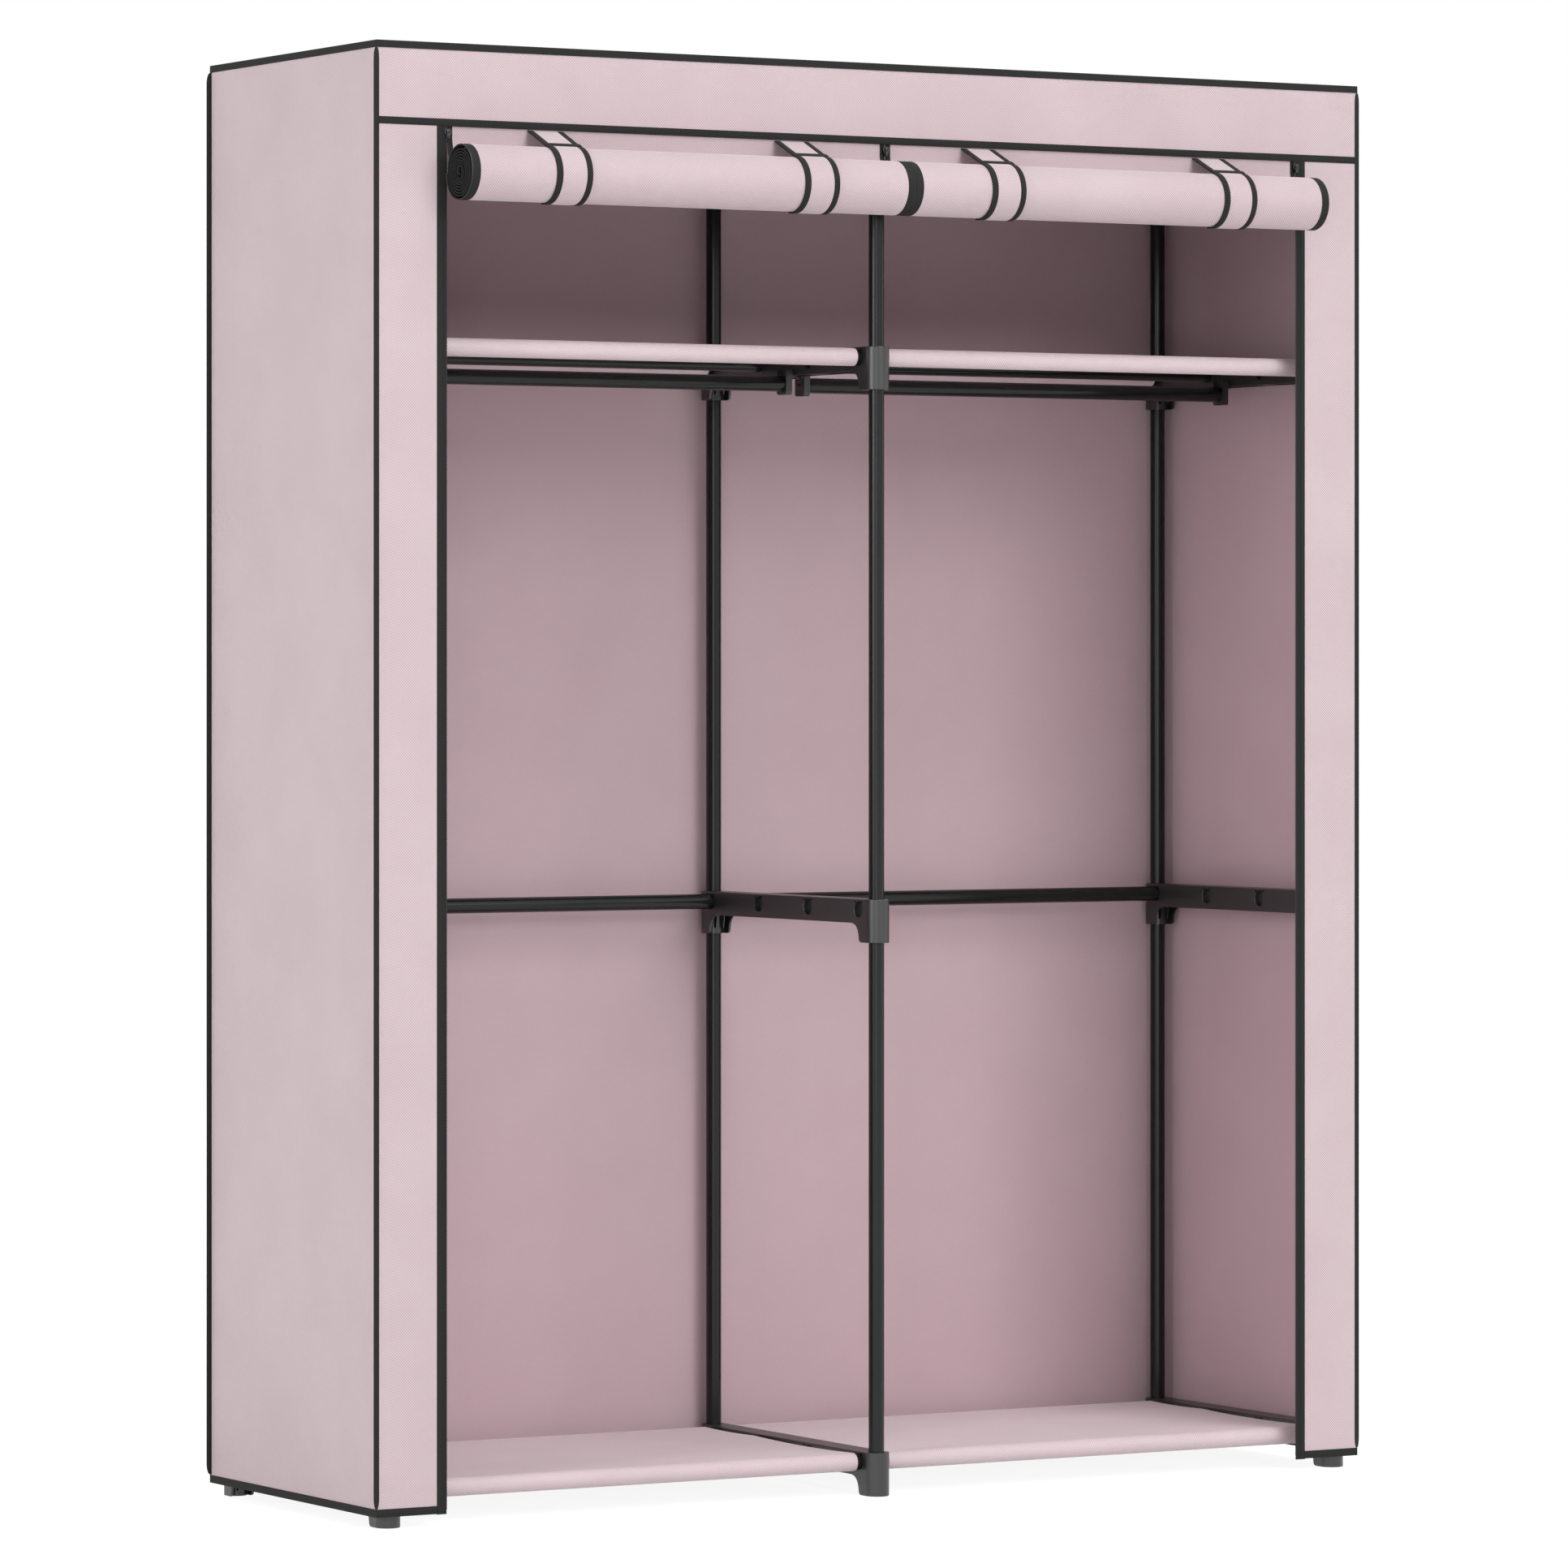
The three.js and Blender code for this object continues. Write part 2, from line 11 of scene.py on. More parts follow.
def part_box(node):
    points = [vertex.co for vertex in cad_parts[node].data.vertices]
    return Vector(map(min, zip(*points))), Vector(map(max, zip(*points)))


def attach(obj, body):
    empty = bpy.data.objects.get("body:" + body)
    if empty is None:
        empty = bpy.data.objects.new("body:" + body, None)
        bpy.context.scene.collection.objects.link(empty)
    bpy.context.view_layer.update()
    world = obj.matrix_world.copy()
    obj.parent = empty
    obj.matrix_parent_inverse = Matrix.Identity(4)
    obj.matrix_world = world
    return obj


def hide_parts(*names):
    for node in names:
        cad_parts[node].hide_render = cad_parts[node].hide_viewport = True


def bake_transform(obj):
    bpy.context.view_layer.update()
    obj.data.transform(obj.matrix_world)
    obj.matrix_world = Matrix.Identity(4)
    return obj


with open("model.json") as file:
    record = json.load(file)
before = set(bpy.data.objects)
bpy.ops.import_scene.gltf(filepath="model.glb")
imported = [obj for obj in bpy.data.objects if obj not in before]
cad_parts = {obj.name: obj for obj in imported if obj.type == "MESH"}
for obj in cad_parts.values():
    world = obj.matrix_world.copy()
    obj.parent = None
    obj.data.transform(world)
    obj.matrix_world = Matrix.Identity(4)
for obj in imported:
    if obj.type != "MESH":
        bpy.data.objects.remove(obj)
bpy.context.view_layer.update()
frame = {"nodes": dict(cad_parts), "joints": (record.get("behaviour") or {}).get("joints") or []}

# Camera: a long lens held level, a little over halfway up the wardrobe and well out to its left.
# The view is shifted and not tilted, which keeps the posts and the cover's corners upright.
CAMERA_PLACE = (-4.7288, -7.7393, 1.0020)
CAMERA_TURN = -29.377
CAMERA_LENS = 168.43
CAMERA_SHIFT = (0.1516, -0.0714)


def new_object(name, data):
    made = bpy.data.objects.new(name, data)
    bpy.context.scene.collection.objects.link(made)
    return made


camera_data = bpy.data.cameras.new("camera")
camera_data.lens = CAMERA_LENS
camera_data.sensor_width = 36
camera_data.shift_x, camera_data.shift_y = CAMERA_SHIFT
camera = new_object("camera", camera_data)
camera.location = CAMERA_PLACE
camera.rotation_euler = (math.radians(90), 0, math.radians(CAMERA_TURN))
bpy.context.scene.camera = camera
bpy.context.scene.view_settings.view_transform = "Standard"

# Studio: a pale painted floor in white surroundings. Two broad lamps hang high and far off in front, one
# steeper than the other, and one lower down. One lights each side and one the back, and a tall one by
# the camera draws each tube's streak.
WHITE = (1, 1, 1, 1)
FLOOR_HALF = 20
FLOOR_WHITE = 0.86
FLOOR_SHADE = 0.24  # the share of its light that the camera sees, and the shadow with it
FLOOR_GLOW = 0.90  # what the camera gets as well, so that the lit floor is white round the shadow
FLOOR_NEAR = 1.8  # from here outwards the glow rises to full white, since the lamps light less of it
FLOOR_FAR = 5.0
ROOM_LEVEL = 0.32
ROOF_LEVEL = 0.22
LAMPS = {  # where each stands, the height it is aimed at, its width and height, and its power
    "high_lamp": ((1.5, -11.0, 13.0), 0.8, (9.0, 9.0), 440),
    "steep_lamp": ((0.8, -5.5, 13.0), 0.8, (7.0, 7.0), 540),
    "front_lamp": ((2.0, -9.0, 5.0), 0.9, (5.0, 3.4), 260),
    "left_lamp": ((-6.6, -1.4, 2.6), 0.9, (3.0, 3.6), 160),
    "right_lamp": ((6.6, 1.0, 2.6), 0.9, (3.0, 3.6), 150),
    "streak_lamp": ((-4.6, -7.0, 1.5), 1.0, (1.2, 3.4), 40),
    "rear_lamp": ((2.5, 7.5, 4.5), 0.9, (5.0, 4.0), 330),
}


def empty_tree(owner):
    owner.use_nodes = True
    owner.node_tree.nodes.clear()
    return owner.node_tree


def add_node(tree, kind, inputs=None, **settings):
    """A shader node. An input takes a value, a socket, or a node whose first output it is linked to."""
    node = tree.nodes.new("ShaderNode" + kind)
    for name, value in settings.items():
        setattr(node, name, value)
    for name, value in (inputs or {}).items():
        if isinstance(value, bpy.types.Node):
            value = next(output for output in value.outputs if output.enabled)
        if isinstance(value, bpy.types.NodeSocket):
            tree.links.new(value, node.inputs[name])
        else:
            node.inputs[name].default_value = value
    return node


def seen_directly(tree):
    rays = add_node(tree, "LightPath").outputs
    camera_ray, mirrored_ray = rays["Is Camera Ray"], rays["Is Glossy Ray"]
    mirrored = add_node(tree, "Math", {0: camera_ray, 1: mirrored_ray}, operation="MAXIMUM")
    return add_node(tree, "Math", {0: mirrored, 1: rays["Is Transmission Ray"]}, operation="MAXIMUM")


def make_world():
    world = bpy.data.worlds.new("white_surroundings")
    tree = empty_tree(world)
    way = add_node(tree, "TexCoord").outputs["Generated"]
    height = add_node(tree, "SeparateXYZ", {0: way}).outputs["Z"]
    level = add_node(tree, "MapRange", {"Value": height, "To Min": ROOM_LEVEL, "To Max": ROOF_LEVEL})
    light = add_node(tree, "Background", {"Color": WHITE, "Strength": level})
    white = add_node(tree, "Background", {"Color": WHITE, "Strength": 1.0})
    mix = add_node(tree, "MixShader", {0: seen_directly(tree), 1: light, 2: white})
    add_node(tree, "OutputWorld", {"Surface": mix})
    bpy.context.scene.world = world


def make_floor():
    mesh = bpy.data.meshes.new("floor")
    corners = [(x * FLOOR_HALF, y * FLOOR_HALF, 0) for x, y in ((-1, -1), (1, -1), (1, 1), (-1, 1))]
    mesh.from_pydata(corners, [], [(0, 1, 2, 3)])
    material = bpy.data.materials.new("painted_floor")
    tree = empty_tree(material)
    paint = add_node(tree, "BsdfDiffuse", {"Color": (FLOOR_WHITE,) * 3 + (1,)})
    shade = add_node(tree, "BsdfDiffuse", {"Color": (FLOOR_SHADE,) * 3 + (1,)})
    place = add_node(tree, "NewGeometry").outputs["Position"]
    away = add_node(tree, "VectorMath", {0: place}, operation="LENGTH")
    rise = add_node(tree, "MapRange", {
        "Value": away, "From Min": FLOOR_NEAR, "From Max": FLOOR_FAR, "To Min": FLOOR_GLOW, "To Max": 1.0,
    })
    glow = add_node(tree, "Emission", {"Color": WHITE, "Strength": rise})
    seen = add_node(tree, "AddShader", {0: shade, 1: glow})
    mix = add_node(tree, "MixShader", {0: seen_directly(tree), 1: paint, 2: seen})
    add_node(tree, "OutputMaterial", {"Surface": mix})
    mesh.materials.append(material)
    new_object("floor", mesh)


make_world()
make_floor()
for name, (place, aim, size, power) in LAMPS.items():
    data = bpy.data.lights.new(name, "AREA")
    data.shape = "RECTANGLE"
    data.size, data.size_y = size
    data.energy = power
    lamp = new_object(name, data)
    lamp.location = place
    lamp.rotation_euler = (Vector((0, 0, aim)) - Vector(place)).to_track_quat("-Z", "Y").to_euler()

# Posts: welded steel tube, powder coated dark grey. The coat is satin, with a faint orange peel, and
# shows as a soft streak down the tube. Each post stands in four brackets, one above the other.
TUBE_WALL = 0.0007
TUBE_SIDES = 40
TUBE_RIM = 0.00025  # the cut end's edge, blunted
PEEL_GRAIN = 0.003  # of the coat; the real one is under 1 mm and too fine to show
SHARP_ANGLE = math.radians(33)
FIXED = "frame_and_cover"  # the body of all that stands still


def colour_of(code):
    channels = [int(code[i:i + 2], 16) / 255 for i in (0, 2, 4)]
    return tuple(c / 12.92 if c <= 0.04045 else ((c + 0.055) / 1.055) ** 2.4 for c in channels) + (1,)


def between(tree, level, low, high):
    """The colour that level picks between two sRGB codes."""
    return add_node(
        tree, "Mix", {"Factor": level, "A": colour_of(low), "B": colour_of(high)}, data_type="RGBA",
    )


def new_material(name, surface, *details):
    """A material whose Principled shader takes the inputs that surface gives it."""
    material = bpy.data.materials.new(name)
    tree = empty_tree(material)
    shader = add_node(tree, "BsdfPrincipled", surface(tree, *details))
    add_node(tree, "OutputMaterial", {"Surface": shader})
    return material


def coated_steel(tree):
    place = add_node(tree, "TexCoord").outputs["Object"]
    peel = add_node(tree, "TexNoise", {"Vector": place, "Scale": 1 / PEEL_GRAIN, "Detail": 2.0})
    drift = add_node(tree, "TexNoise", {"Vector": place, "Scale": 14.0, "Detail": 3.0})
    return {
        "Base Color": between(tree, drift, "151717", "1C1E1E"),
        "Roughness": add_node(tree, "MapRange", {"Value": peel, "To Min": 0.17, "To Max": 0.23}),
        "Specular IOR Level": 0.3,
        "Normal": add_node(tree, "Bump", {"Height": peel, "Strength": 0.12, "Distance": 0.0003}),
    }


def face_outwards(mesh, merge=False):
    shape = bmesh.new()
    shape.from_mesh(mesh)
    if merge:
        bmesh.ops.remove_doubles(shape, verts=shape.verts, dist=1e-6)
        bmesh.ops.dissolve_degenerate(shape, edges=shape.edges, dist=1e-6)
    bmesh.ops.recalc_face_normals(shape, faces=shape.faces)
    shape.to_mesh(mesh)
    shape.free()


def coat(mesh, material):
    mesh.shade_smooth()
    mesh.set_sharp_from_angle(angle=SHARP_ANGLE)
    mesh.materials.clear()
    mesh.materials.append(material)


def place_piece(name, mesh, body=FIXED, nodes=(), slot=None):
    piece = new_object(name, mesh)
    if body:
        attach(piece, body)
    if nodes:
        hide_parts(*nodes)
    return piece


def make_piece(name, points, faces, material, uvs=None, **extra):
    mesh = bpy.data.meshes.new(name)
    mesh.from_pydata([tuple(p) for p in points], [], faces)
    if uvs:
        layer = mesh.uv_layers.new(name="UVMap")
        layer.data.foreach_set("uv", [value for face in uvs for corner in face for value in corner])
    face_outwards(mesh)
    coat(mesh, material)
    return place_piece(name, mesh, **extra)


def middle_of(node):
    low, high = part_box(node)
    return (low + high) / 2


def turned(ring, sides, place):
    """A closed ring of (radius, height) turned about Z, then moved by place: its points and faces."""
    points, faces = [], []
    count = len(ring)
    for i in range(sides):
        angle = 2 * math.pi * i / sides
        points += [place @ Vector((r * math.cos(angle), r * math.sin(angle), z)) for r, z in ring]
        j = (i + 1) % sides
        for k in range(count):
            m = (k + 1) % count
            faces.append((i * count + k, j * count + k, j * count + m, i * count + m))
    return points, faces


def coated_tubes(prefix, trim=0.0):
    """Open tubes that fill the boxes of the nodes so named, along the longest side, less trim at each end."""
    for node in sorted(n for n in frame["nodes"] if n.startswith(prefix)):
        low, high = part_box(node)
        size = high - low
        axis = max(range(3), key=lambda i: size[i])
        length = size[axis] - 2 * trim
        outer = max(size[i] for i in range(3) if i != axis) / 2
        inner = outer - TUBE_WALL
        ring = [
            (inner, TUBE_RIM), (inner + TUBE_RIM, 0), (outer - TUBE_RIM, 0), (outer, TUBE_RIM),
            (outer, length - TUBE_RIM), (outer - TUBE_RIM, length), (inner + TUBE_RIM, length),
            (inner, length - TUBE_RIM),
        ]
        start = middle_of(node)
        start[axis] = low[axis] + trim
        turn = Matrix.Rotation(math.pi / 2, 4, "Y") if axis == 0 else Matrix.Identity(4)
        points, faces = turned(ring, TUBE_SIDES, Matrix.Translation(start) @ turn)
        make_piece(f"{node}_tube", points, faces, STEEL, nodes=[node], slot="coated_steel")


STEEL = new_material("powder_coated_steel", coated_steel)
coated_tubes("post_")

# Brackets: one ABS moulding each, dark grey with a fine spark-eroded grain that takes the shine off.
# A beam joins two sockets; cups sunk in its sides take the cross tubes, with two small vents over each.
BRACKET_HALF = 0.0155  # half its width, and the radius of its round ends
BRACKET_POST = 0.194  # from its middle to a post's centre
BEAM_HEIGHT = 0.0295
SOCKET_HEIGHT = 0.053
SHELL_WALL = 0.0028
BRACKET_EDGE = 0.0009
BORE_RADIUS = 0.0098
BORE_LEAD = 0.0005  # the chamfer at a bore's or a cup's mouth
SLEEVE_RADIUS = 0.0122
SLEEVE_SEAT = 0.004  # the hollow stops this far short of the post's centre, inside the sleeve
WEB_REACH = 0.016  # from the post's centre to where the deep part of the socket ends
WEB_SPREAD = 0.020  # the length over which the underside then curves up to the beam's
WEB_CORNER = 0.005
END_CAP = 0.003  # over a top socket and under a bottom one
CUP_DROP = 0.0125  # a cup's centre, below the beam's top
CUP_DEPTH = 0.0057
CUP_PLACES = (-0.177, -0.059, 0.059, 0.177)
VENT_ACROSS = 0.0073  # a vent's centre, beside its cup's and above it
VENT_UP = 0.0090
VENT_REACH = (0.0055, 0.0016, 0.0012)  # half its size: in, along and up
RIB_PLACES = (-0.0052, 0.0052)
RIB_HALF = 0.0006
RIB_ROOT = 0.007  # from the post's centre, inside the sleeve's wall
RIB_REACH = 0.0062  # past the sleeve, at the rib's upper end
RIB_LIFT = 0.007  # its lower end, up from the socket's foot
ARC_STEPS = 12
BORE_SIDES = 40
ABS_GRAIN = 0.0014  # the real spark-eroded grain is some 0.1 mm and too fine to show
PAST = 0.001  # how far a cutter or a joined part runs on, so that no two faces share a plane
CUP_SIDES = {"left": (1,), "centre": (-1, 1), "right": (-1,)}
CLOSED_ENDS = {"bottom": "low", "middle": "none", "shelf": "none", "top": "high"}


def moulded_plastic(tree):
    place = add_node(tree, "TexCoord").outputs["Object"]
    grain = add_node(tree, "TexNoise", {"Vector": place, "Scale": 1 / ABS_GRAIN, "Detail": 2.0})
    drift = add_node(tree, "TexNoise", {"Vector": place, "Scale": 30.0, "Detail": 2.0})
    return {
        "Base Color": between(tree, drift, "1E1F1F", "252626"),
        "Roughness": add_node(tree, "MapRange", {"Value": grain, "To Min": 0.30, "To Max": 0.39}),
        "IOR": 1.53,
        "Specular IOR Level": 0.7,
        "Normal": add_node(tree, "Bump", {"Height": grain, "Strength": 0.2, "Distance": 0.0002}),
    }


def curve_through(start, control, end, steps):
    points = []
    for i in range(1, steps + 1):
        t = i / steps
        points.append(tuple(
            (1 - t) ** 2 * a + 2 * t * (1 - t) * b + t * t * c for a, b, c in zip(start, control, end)
        ))
    return points


def block(low, high):
    corners = [(x, y, z) for x in (low[0], high[0]) for y in (low[1], high[1]) for z in (low[2], high[2])]
    faces = [(0, 1, 3, 2), (4, 6, 7, 5), (0, 4, 5, 1), (2, 3, 7, 6), (0, 2, 6, 4), (1, 5, 7, 3)]
    return [Vector(c) for c in corners], faces


def prism(outline, low, high, axis=0):
    """An outline of two coordinates run along one axis."""
    points = []
    for place in (low, high):
        for a, b in outline:
            corner = [a, b]
            corner.insert(axis, place)
            points.append(Vector(corner))
    count = len(outline)
    faces = [tuple(range(count)), tuple(range(2 * count - 1, count - 1, -1))]
    faces += [(i, count + i, count + (i + 1) % count, (i + 1) % count) for i in range(count)]
    return points, faces


def bar(radius, start, end, sides=BORE_SIDES, lead=0.0):
    """A round cutter from start to end, opened by lead where it leaves the face at its end."""
    length = (end - start).length
    turn = (end - start).to_track_quat("Z", "Y").to_matrix().to_4x4()
    place = Matrix.Translation(start) @ turn
    rings = [(radius, 0), (radius, length)]
    if lead:
        rings = [(radius, 0), (radius, length - 2 * lead), (radius + 2 * lead, length)]
    points, faces = [], []
    for r, z in rings:
        for i in range(sides):
            angle = 2 * math.pi * i / sides
            points.append(place @ Vector((r * math.cos(angle), r * math.sin(angle), z)))
    for k in range(len(rings) - 1):
        for i in range(sides):
            j = (i + 1) % sides
            faces.append((k * sides + i, k * sides + j, (k + 1) * sides + j, (k + 1) * sides + i))
    last = (len(rings) - 1) * sides
    faces += [tuple(range(sides - 1, -1, -1)), tuple(range(last, last + sides))]
    return points, faces


def as_object(parts, merge=False):
    points, faces = [], []
    for part_points, part_faces in parts:
        start = len(points)
        points += part_points
        faces += [tuple(start + i for i in face) for face in part_faces]
    mesh = bpy.data.meshes.new("tool")
    mesh.from_pydata([tuple(p) for p in points], [], faces)
    face_outwards(mesh, merge)
    return new_object("tool", mesh)


def worked(target, *jobs):
    """target after each job, an operation with the parts it is done with, and with no modifier left."""
    tools = []
    for operation, parts in jobs:
        step = target.modifiers.new(operation, "BOOLEAN")
        step.operation = operation
        step.solver = "EXACT"
        step.object = as_object(parts)
        tools.append(step.object)
    bpy.context.view_layer.update()
    done = bpy.data.meshes.new_from_object(target.evaluated_get(bpy.context.evaluated_depsgraph_get()))
    target.modifiers.clear()
    target.data = done
    for tool in tools:
        bpy.data.objects.remove(tool)


def round_edges(body, width, angle=30):
    bevel = body.modifiers.new("edges", "BEVEL")
    bevel.width = width
    bevel.segments = 2
    bevel.limit_method = "ANGLE"
    bevel.angle_limit = math.radians(angle)
    worked(body)


def mesh_out_of(body, material):
    mesh = body.data
    bpy.data.objects.remove(body)
    coat(mesh, material)
    return mesh


def place_casting(name, mesh, **extra):
    """Places a mesh with its flat faces kept evenly shaded beside the rounded edges."""
    weighted = place_piece(name, mesh, **extra).modifiers.new("weighted", "WEIGHTED_NORMAL")
    weighted.keep_sharp = True
    weighted.weight = 100


def bracket_skin():
    """The moulding's outside, as rings of points about it from the underside to the top."""
    foot = BRACKET_POST - WEB_REACH
    web = [(foot + WEB_CORNER, -SOCKET_HEIGHT)]
    web += curve_through(web[0], (foot, -SOCKET_HEIGHT), (foot, WEB_CORNER - SOCKET_HEIGHT), 4)
    web += curve_through(
        web[-1], (foot - WEB_SPREAD / 9, -BEAM_HEIGHT), (foot - WEB_SPREAD, -BEAM_HEIGHT), 10,
    )
    stations = []
    for i in range(ARC_STEPS + 1):
        angle = math.radians(90 - 90 * i / ARC_STEPS)
        stations.append((math.cos(angle), BRACKET_POST, math.sin(angle), -SOCKET_HEIGHT))
    stations += [(1, along, 0, low) for along, low in web]
    stations += [(across, -along, -out, low) for across, along, out, low in reversed(stations)]
    edge = BRACKET_EDGE
    layers = [
        (edge, 0, 0), (0.3 * edge, 0.3 * edge, 0), (0, edge, 0), (0, -edge, 1),
        (0.3 * edge, -0.3 * edge, 1), (edge, 0, 1),
    ]
    points, faces = [], []
    count = len(stations)
    ring = 2 * count
    for inset, lift, at_top in layers:
        reach = BRACKET_HALF - inset
        for side in (1, -1):
            for across, along, out, low in stations:
                height = lift if at_top else low + lift
                points.append(Vector((side * across * reach, along + out * reach, height)))
    for k in range(len(layers) - 1):
        for start in (0, count):
            for i in range(count - 1):
                a = k * ring + start + i
                faces.append((a, a + 1, a + 1 + ring, a + ring))
        # The two sides meet at the ends' outermost stations
        for i in (0, count - 1):
            a, b = k * ring + i, k * ring + count + i
            faces.append((a, b, b + ring, a + ring))
    for k in (0, len(layers) - 1):
        for i in range(count - 1):
            a, b = k * ring + i, k * ring + count + i
            faces.append((a, a + 1, b + 1, b))
    return points, faces


def bracket_mesh(closed_end, cup_sides):
    body = as_object([bracket_skin()], merge=True)
    inside = BRACKET_HALF - SHELL_WALL
    hollows, sleeves, bores, ribs = [], [], [], []
    for end in (-1, 1):
        near = end * (BRACKET_POST - WEB_REACH - WEB_SPREAD - PAST)
        far = end * (BRACKET_POST - SLEEVE_SEAT)
        hollows.append(block(
            (-inside, min(near, far), -SOCKET_HEIGHT - PAST), (inside, max(near, far), -BEAM_HEIGHT),
        ))
        centre = Vector((0, end * BRACKET_POST, 0))
        foot = centre - Vector((0, 0, SOCKET_HEIGHT))
        sleeves.append(bar(SLEEVE_RADIUS, foot, centre - Vector((0, 0, BEAM_HEIGHT - PAST))))
        root, tip = end * (BRACKET_POST - RIB_ROOT), BRACKET_POST - SLEEVE_RADIUS - RIB_REACH
        rib = [
            (root, PAST - BEAM_HEIGHT), (end * tip, PAST - BEAM_HEIGHT),
            (end * (tip + 0.4 * RIB_REACH), RIB_LIFT - SOCKET_HEIGHT), (root, RIB_LIFT - SOCKET_HEIGHT),
        ]
        ribs += [prism(rib, across - RIB_HALF, across + RIB_HALF) for across in RIB_PLACES]
        shut_low, shut_high = closed_end == "low", closed_end == "high"
        middle = centre - Vector((0, 0, SOCKET_HEIGHT / 2))
        top = centre - Vector((0, 0, END_CAP if shut_high else -BORE_LEAD))
        bottom = foot + Vector((0, 0, END_CAP if shut_low else -BORE_LEAD))
        up, down = middle + Vector((0, 0, PAST)), middle + Vector((0, 0, 2 * PAST))
        bores.append(bar(BORE_RADIUS, up, top, lead=0 if shut_high else BORE_LEAD))
        bores.append(bar(BORE_RADIUS, down, bottom, lead=0 if shut_low else BORE_LEAD))
    cuts = []
    rim = BORE_RADIUS + SHELL_WALL
    for start, end in zip(CUP_PLACES, CUP_PLACES[1:]):
        cuts.append(block((-inside, start + rim, -BEAM_HEIGHT - PAST), (inside, end - rim, -SHELL_WALL)))
    for side in cup_sides:
        for along in CUP_PLACES:
            bottom = Vector((side * (BRACKET_HALF - CUP_DEPTH), along, -CUP_DROP))
            mouth = Vector((side * (BRACKET_HALF + BORE_LEAD), along, -CUP_DROP))
            cuts.append(bar(BORE_RADIUS, bottom, mouth, lead=BORE_LEAD))
            for way in (-1, 1):
                vent = Vector((side * BRACKET_HALF, along + way * VENT_ACROSS, VENT_UP - CUP_DROP))
                cuts.append(block(vent - Vector(VENT_REACH), vent + Vector(VENT_REACH)))
    worked(body, ("DIFFERENCE", hollows), ("UNION", sleeves), ("UNION", ribs))
    for group in (bores[0::2], bores[1::2], cuts):
        worked(body, *[("DIFFERENCE", [part]) for part in group])
    return mesh_out_of(body, ABS)


ABS = new_material("moulded_abs", moulded_plastic)
bracket_meshes = {}
for place, cup_sides in CUP_SIDES.items():
    for level, closed_end in CLOSED_ENDS.items():
        node = f"bracket_{place}_{level}"
        if (place, closed_end) not in bracket_meshes:
            bracket_meshes[place, closed_end] = bracket_mesh(closed_end, cup_sides)
        mesh = bracket_meshes[place, closed_end].copy()
        middle = middle_of(node)
        mesh.transform(Matrix.Translation((middle.x, middle.y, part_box(node)[1].z)))
        place_casting(f"{node}_moulding", mesh, nodes=[node], slot="moulded_plastic")

# Cross tubes: the posts' coated steel tube, cut shorter. Both ends are plugged into cups of two facing
# brackets and held by friction; three carry each shelf, and the others keep the frame square.
coated_tubes("cross_tube_")

# Rod hooks: small ABS mouldings, each clipped over the lower edge of a shelf bracket's side wall.
# A rod drops into the cradle from above and ends at its plate, which carries an arch, ribs and a pip.
HOOK_DROP = 0.0134  # its base below the rod's axis
HOOK_HALF = 0.0112
HOOK_OUT = 0.003  # the plate, out from the beam's face
HOOK_LENGTH = 0.0085
HOOK_CORNER = 0.004
HOOK_STOP = 0.0028  # the plate's own thickness, behind the cradle
HOOK_GRIP = 0.008  # from the hook's top down to the beam's lower edge
HOOK_PLAY = 0.0003  # between the clip's foot and the beam's edge
CLIP_HALF = 0.006
CLIP_WALL = 0.002
CLIP_BACK = 0.0054  # from the beam's face to the clip's far side
SPACER_HALF = 0.0087
HOOK_EDGE = 0.0004
HOOK_RIB = 0.0006  # half a rib's width, and how far the ribs and the arch stand proud
HOOK_RIBS = 5
RIB_MARGIN = 0.0016  # the outermost rib, in from the plate's edge
RIB_TOP = -0.0055  # from the rod's axis
PIP_RADIUS = 0.0018
PIP_REACH = 0.0045  # off the plate and into the beam's wall
PIP_SIDES = 20
ARCH_RADIUS = 0.0085
ARCH_WIDTH = 0.0012


def rounded_outline(low, high, corner, steps=5):
    """A rectangle in two coordinates whose four corners are arcs."""
    centres = [
        (high[0] - corner, high[1] - corner), (low[0] + corner, high[1] - corner),
        (low[0] + corner, low[1] + corner), (high[0] - corner, low[1] + corner),
    ]
    outline = []
    for turn, (a, b) in enumerate(centres):
        for i in range(steps + 1):
            angle = math.pi / 2 * (turn + i / steps)
            outline.append((a + corner * math.cos(angle), b + corner * math.sin(angle)))
    return outline


def arc_points(radius, start, end, steps):
    turns = [math.radians(start + (end - start) * i / steps) for i in range(steps + 1)]
    return [(radius * math.cos(turn), radius * math.sin(turn)) for turn in turns]


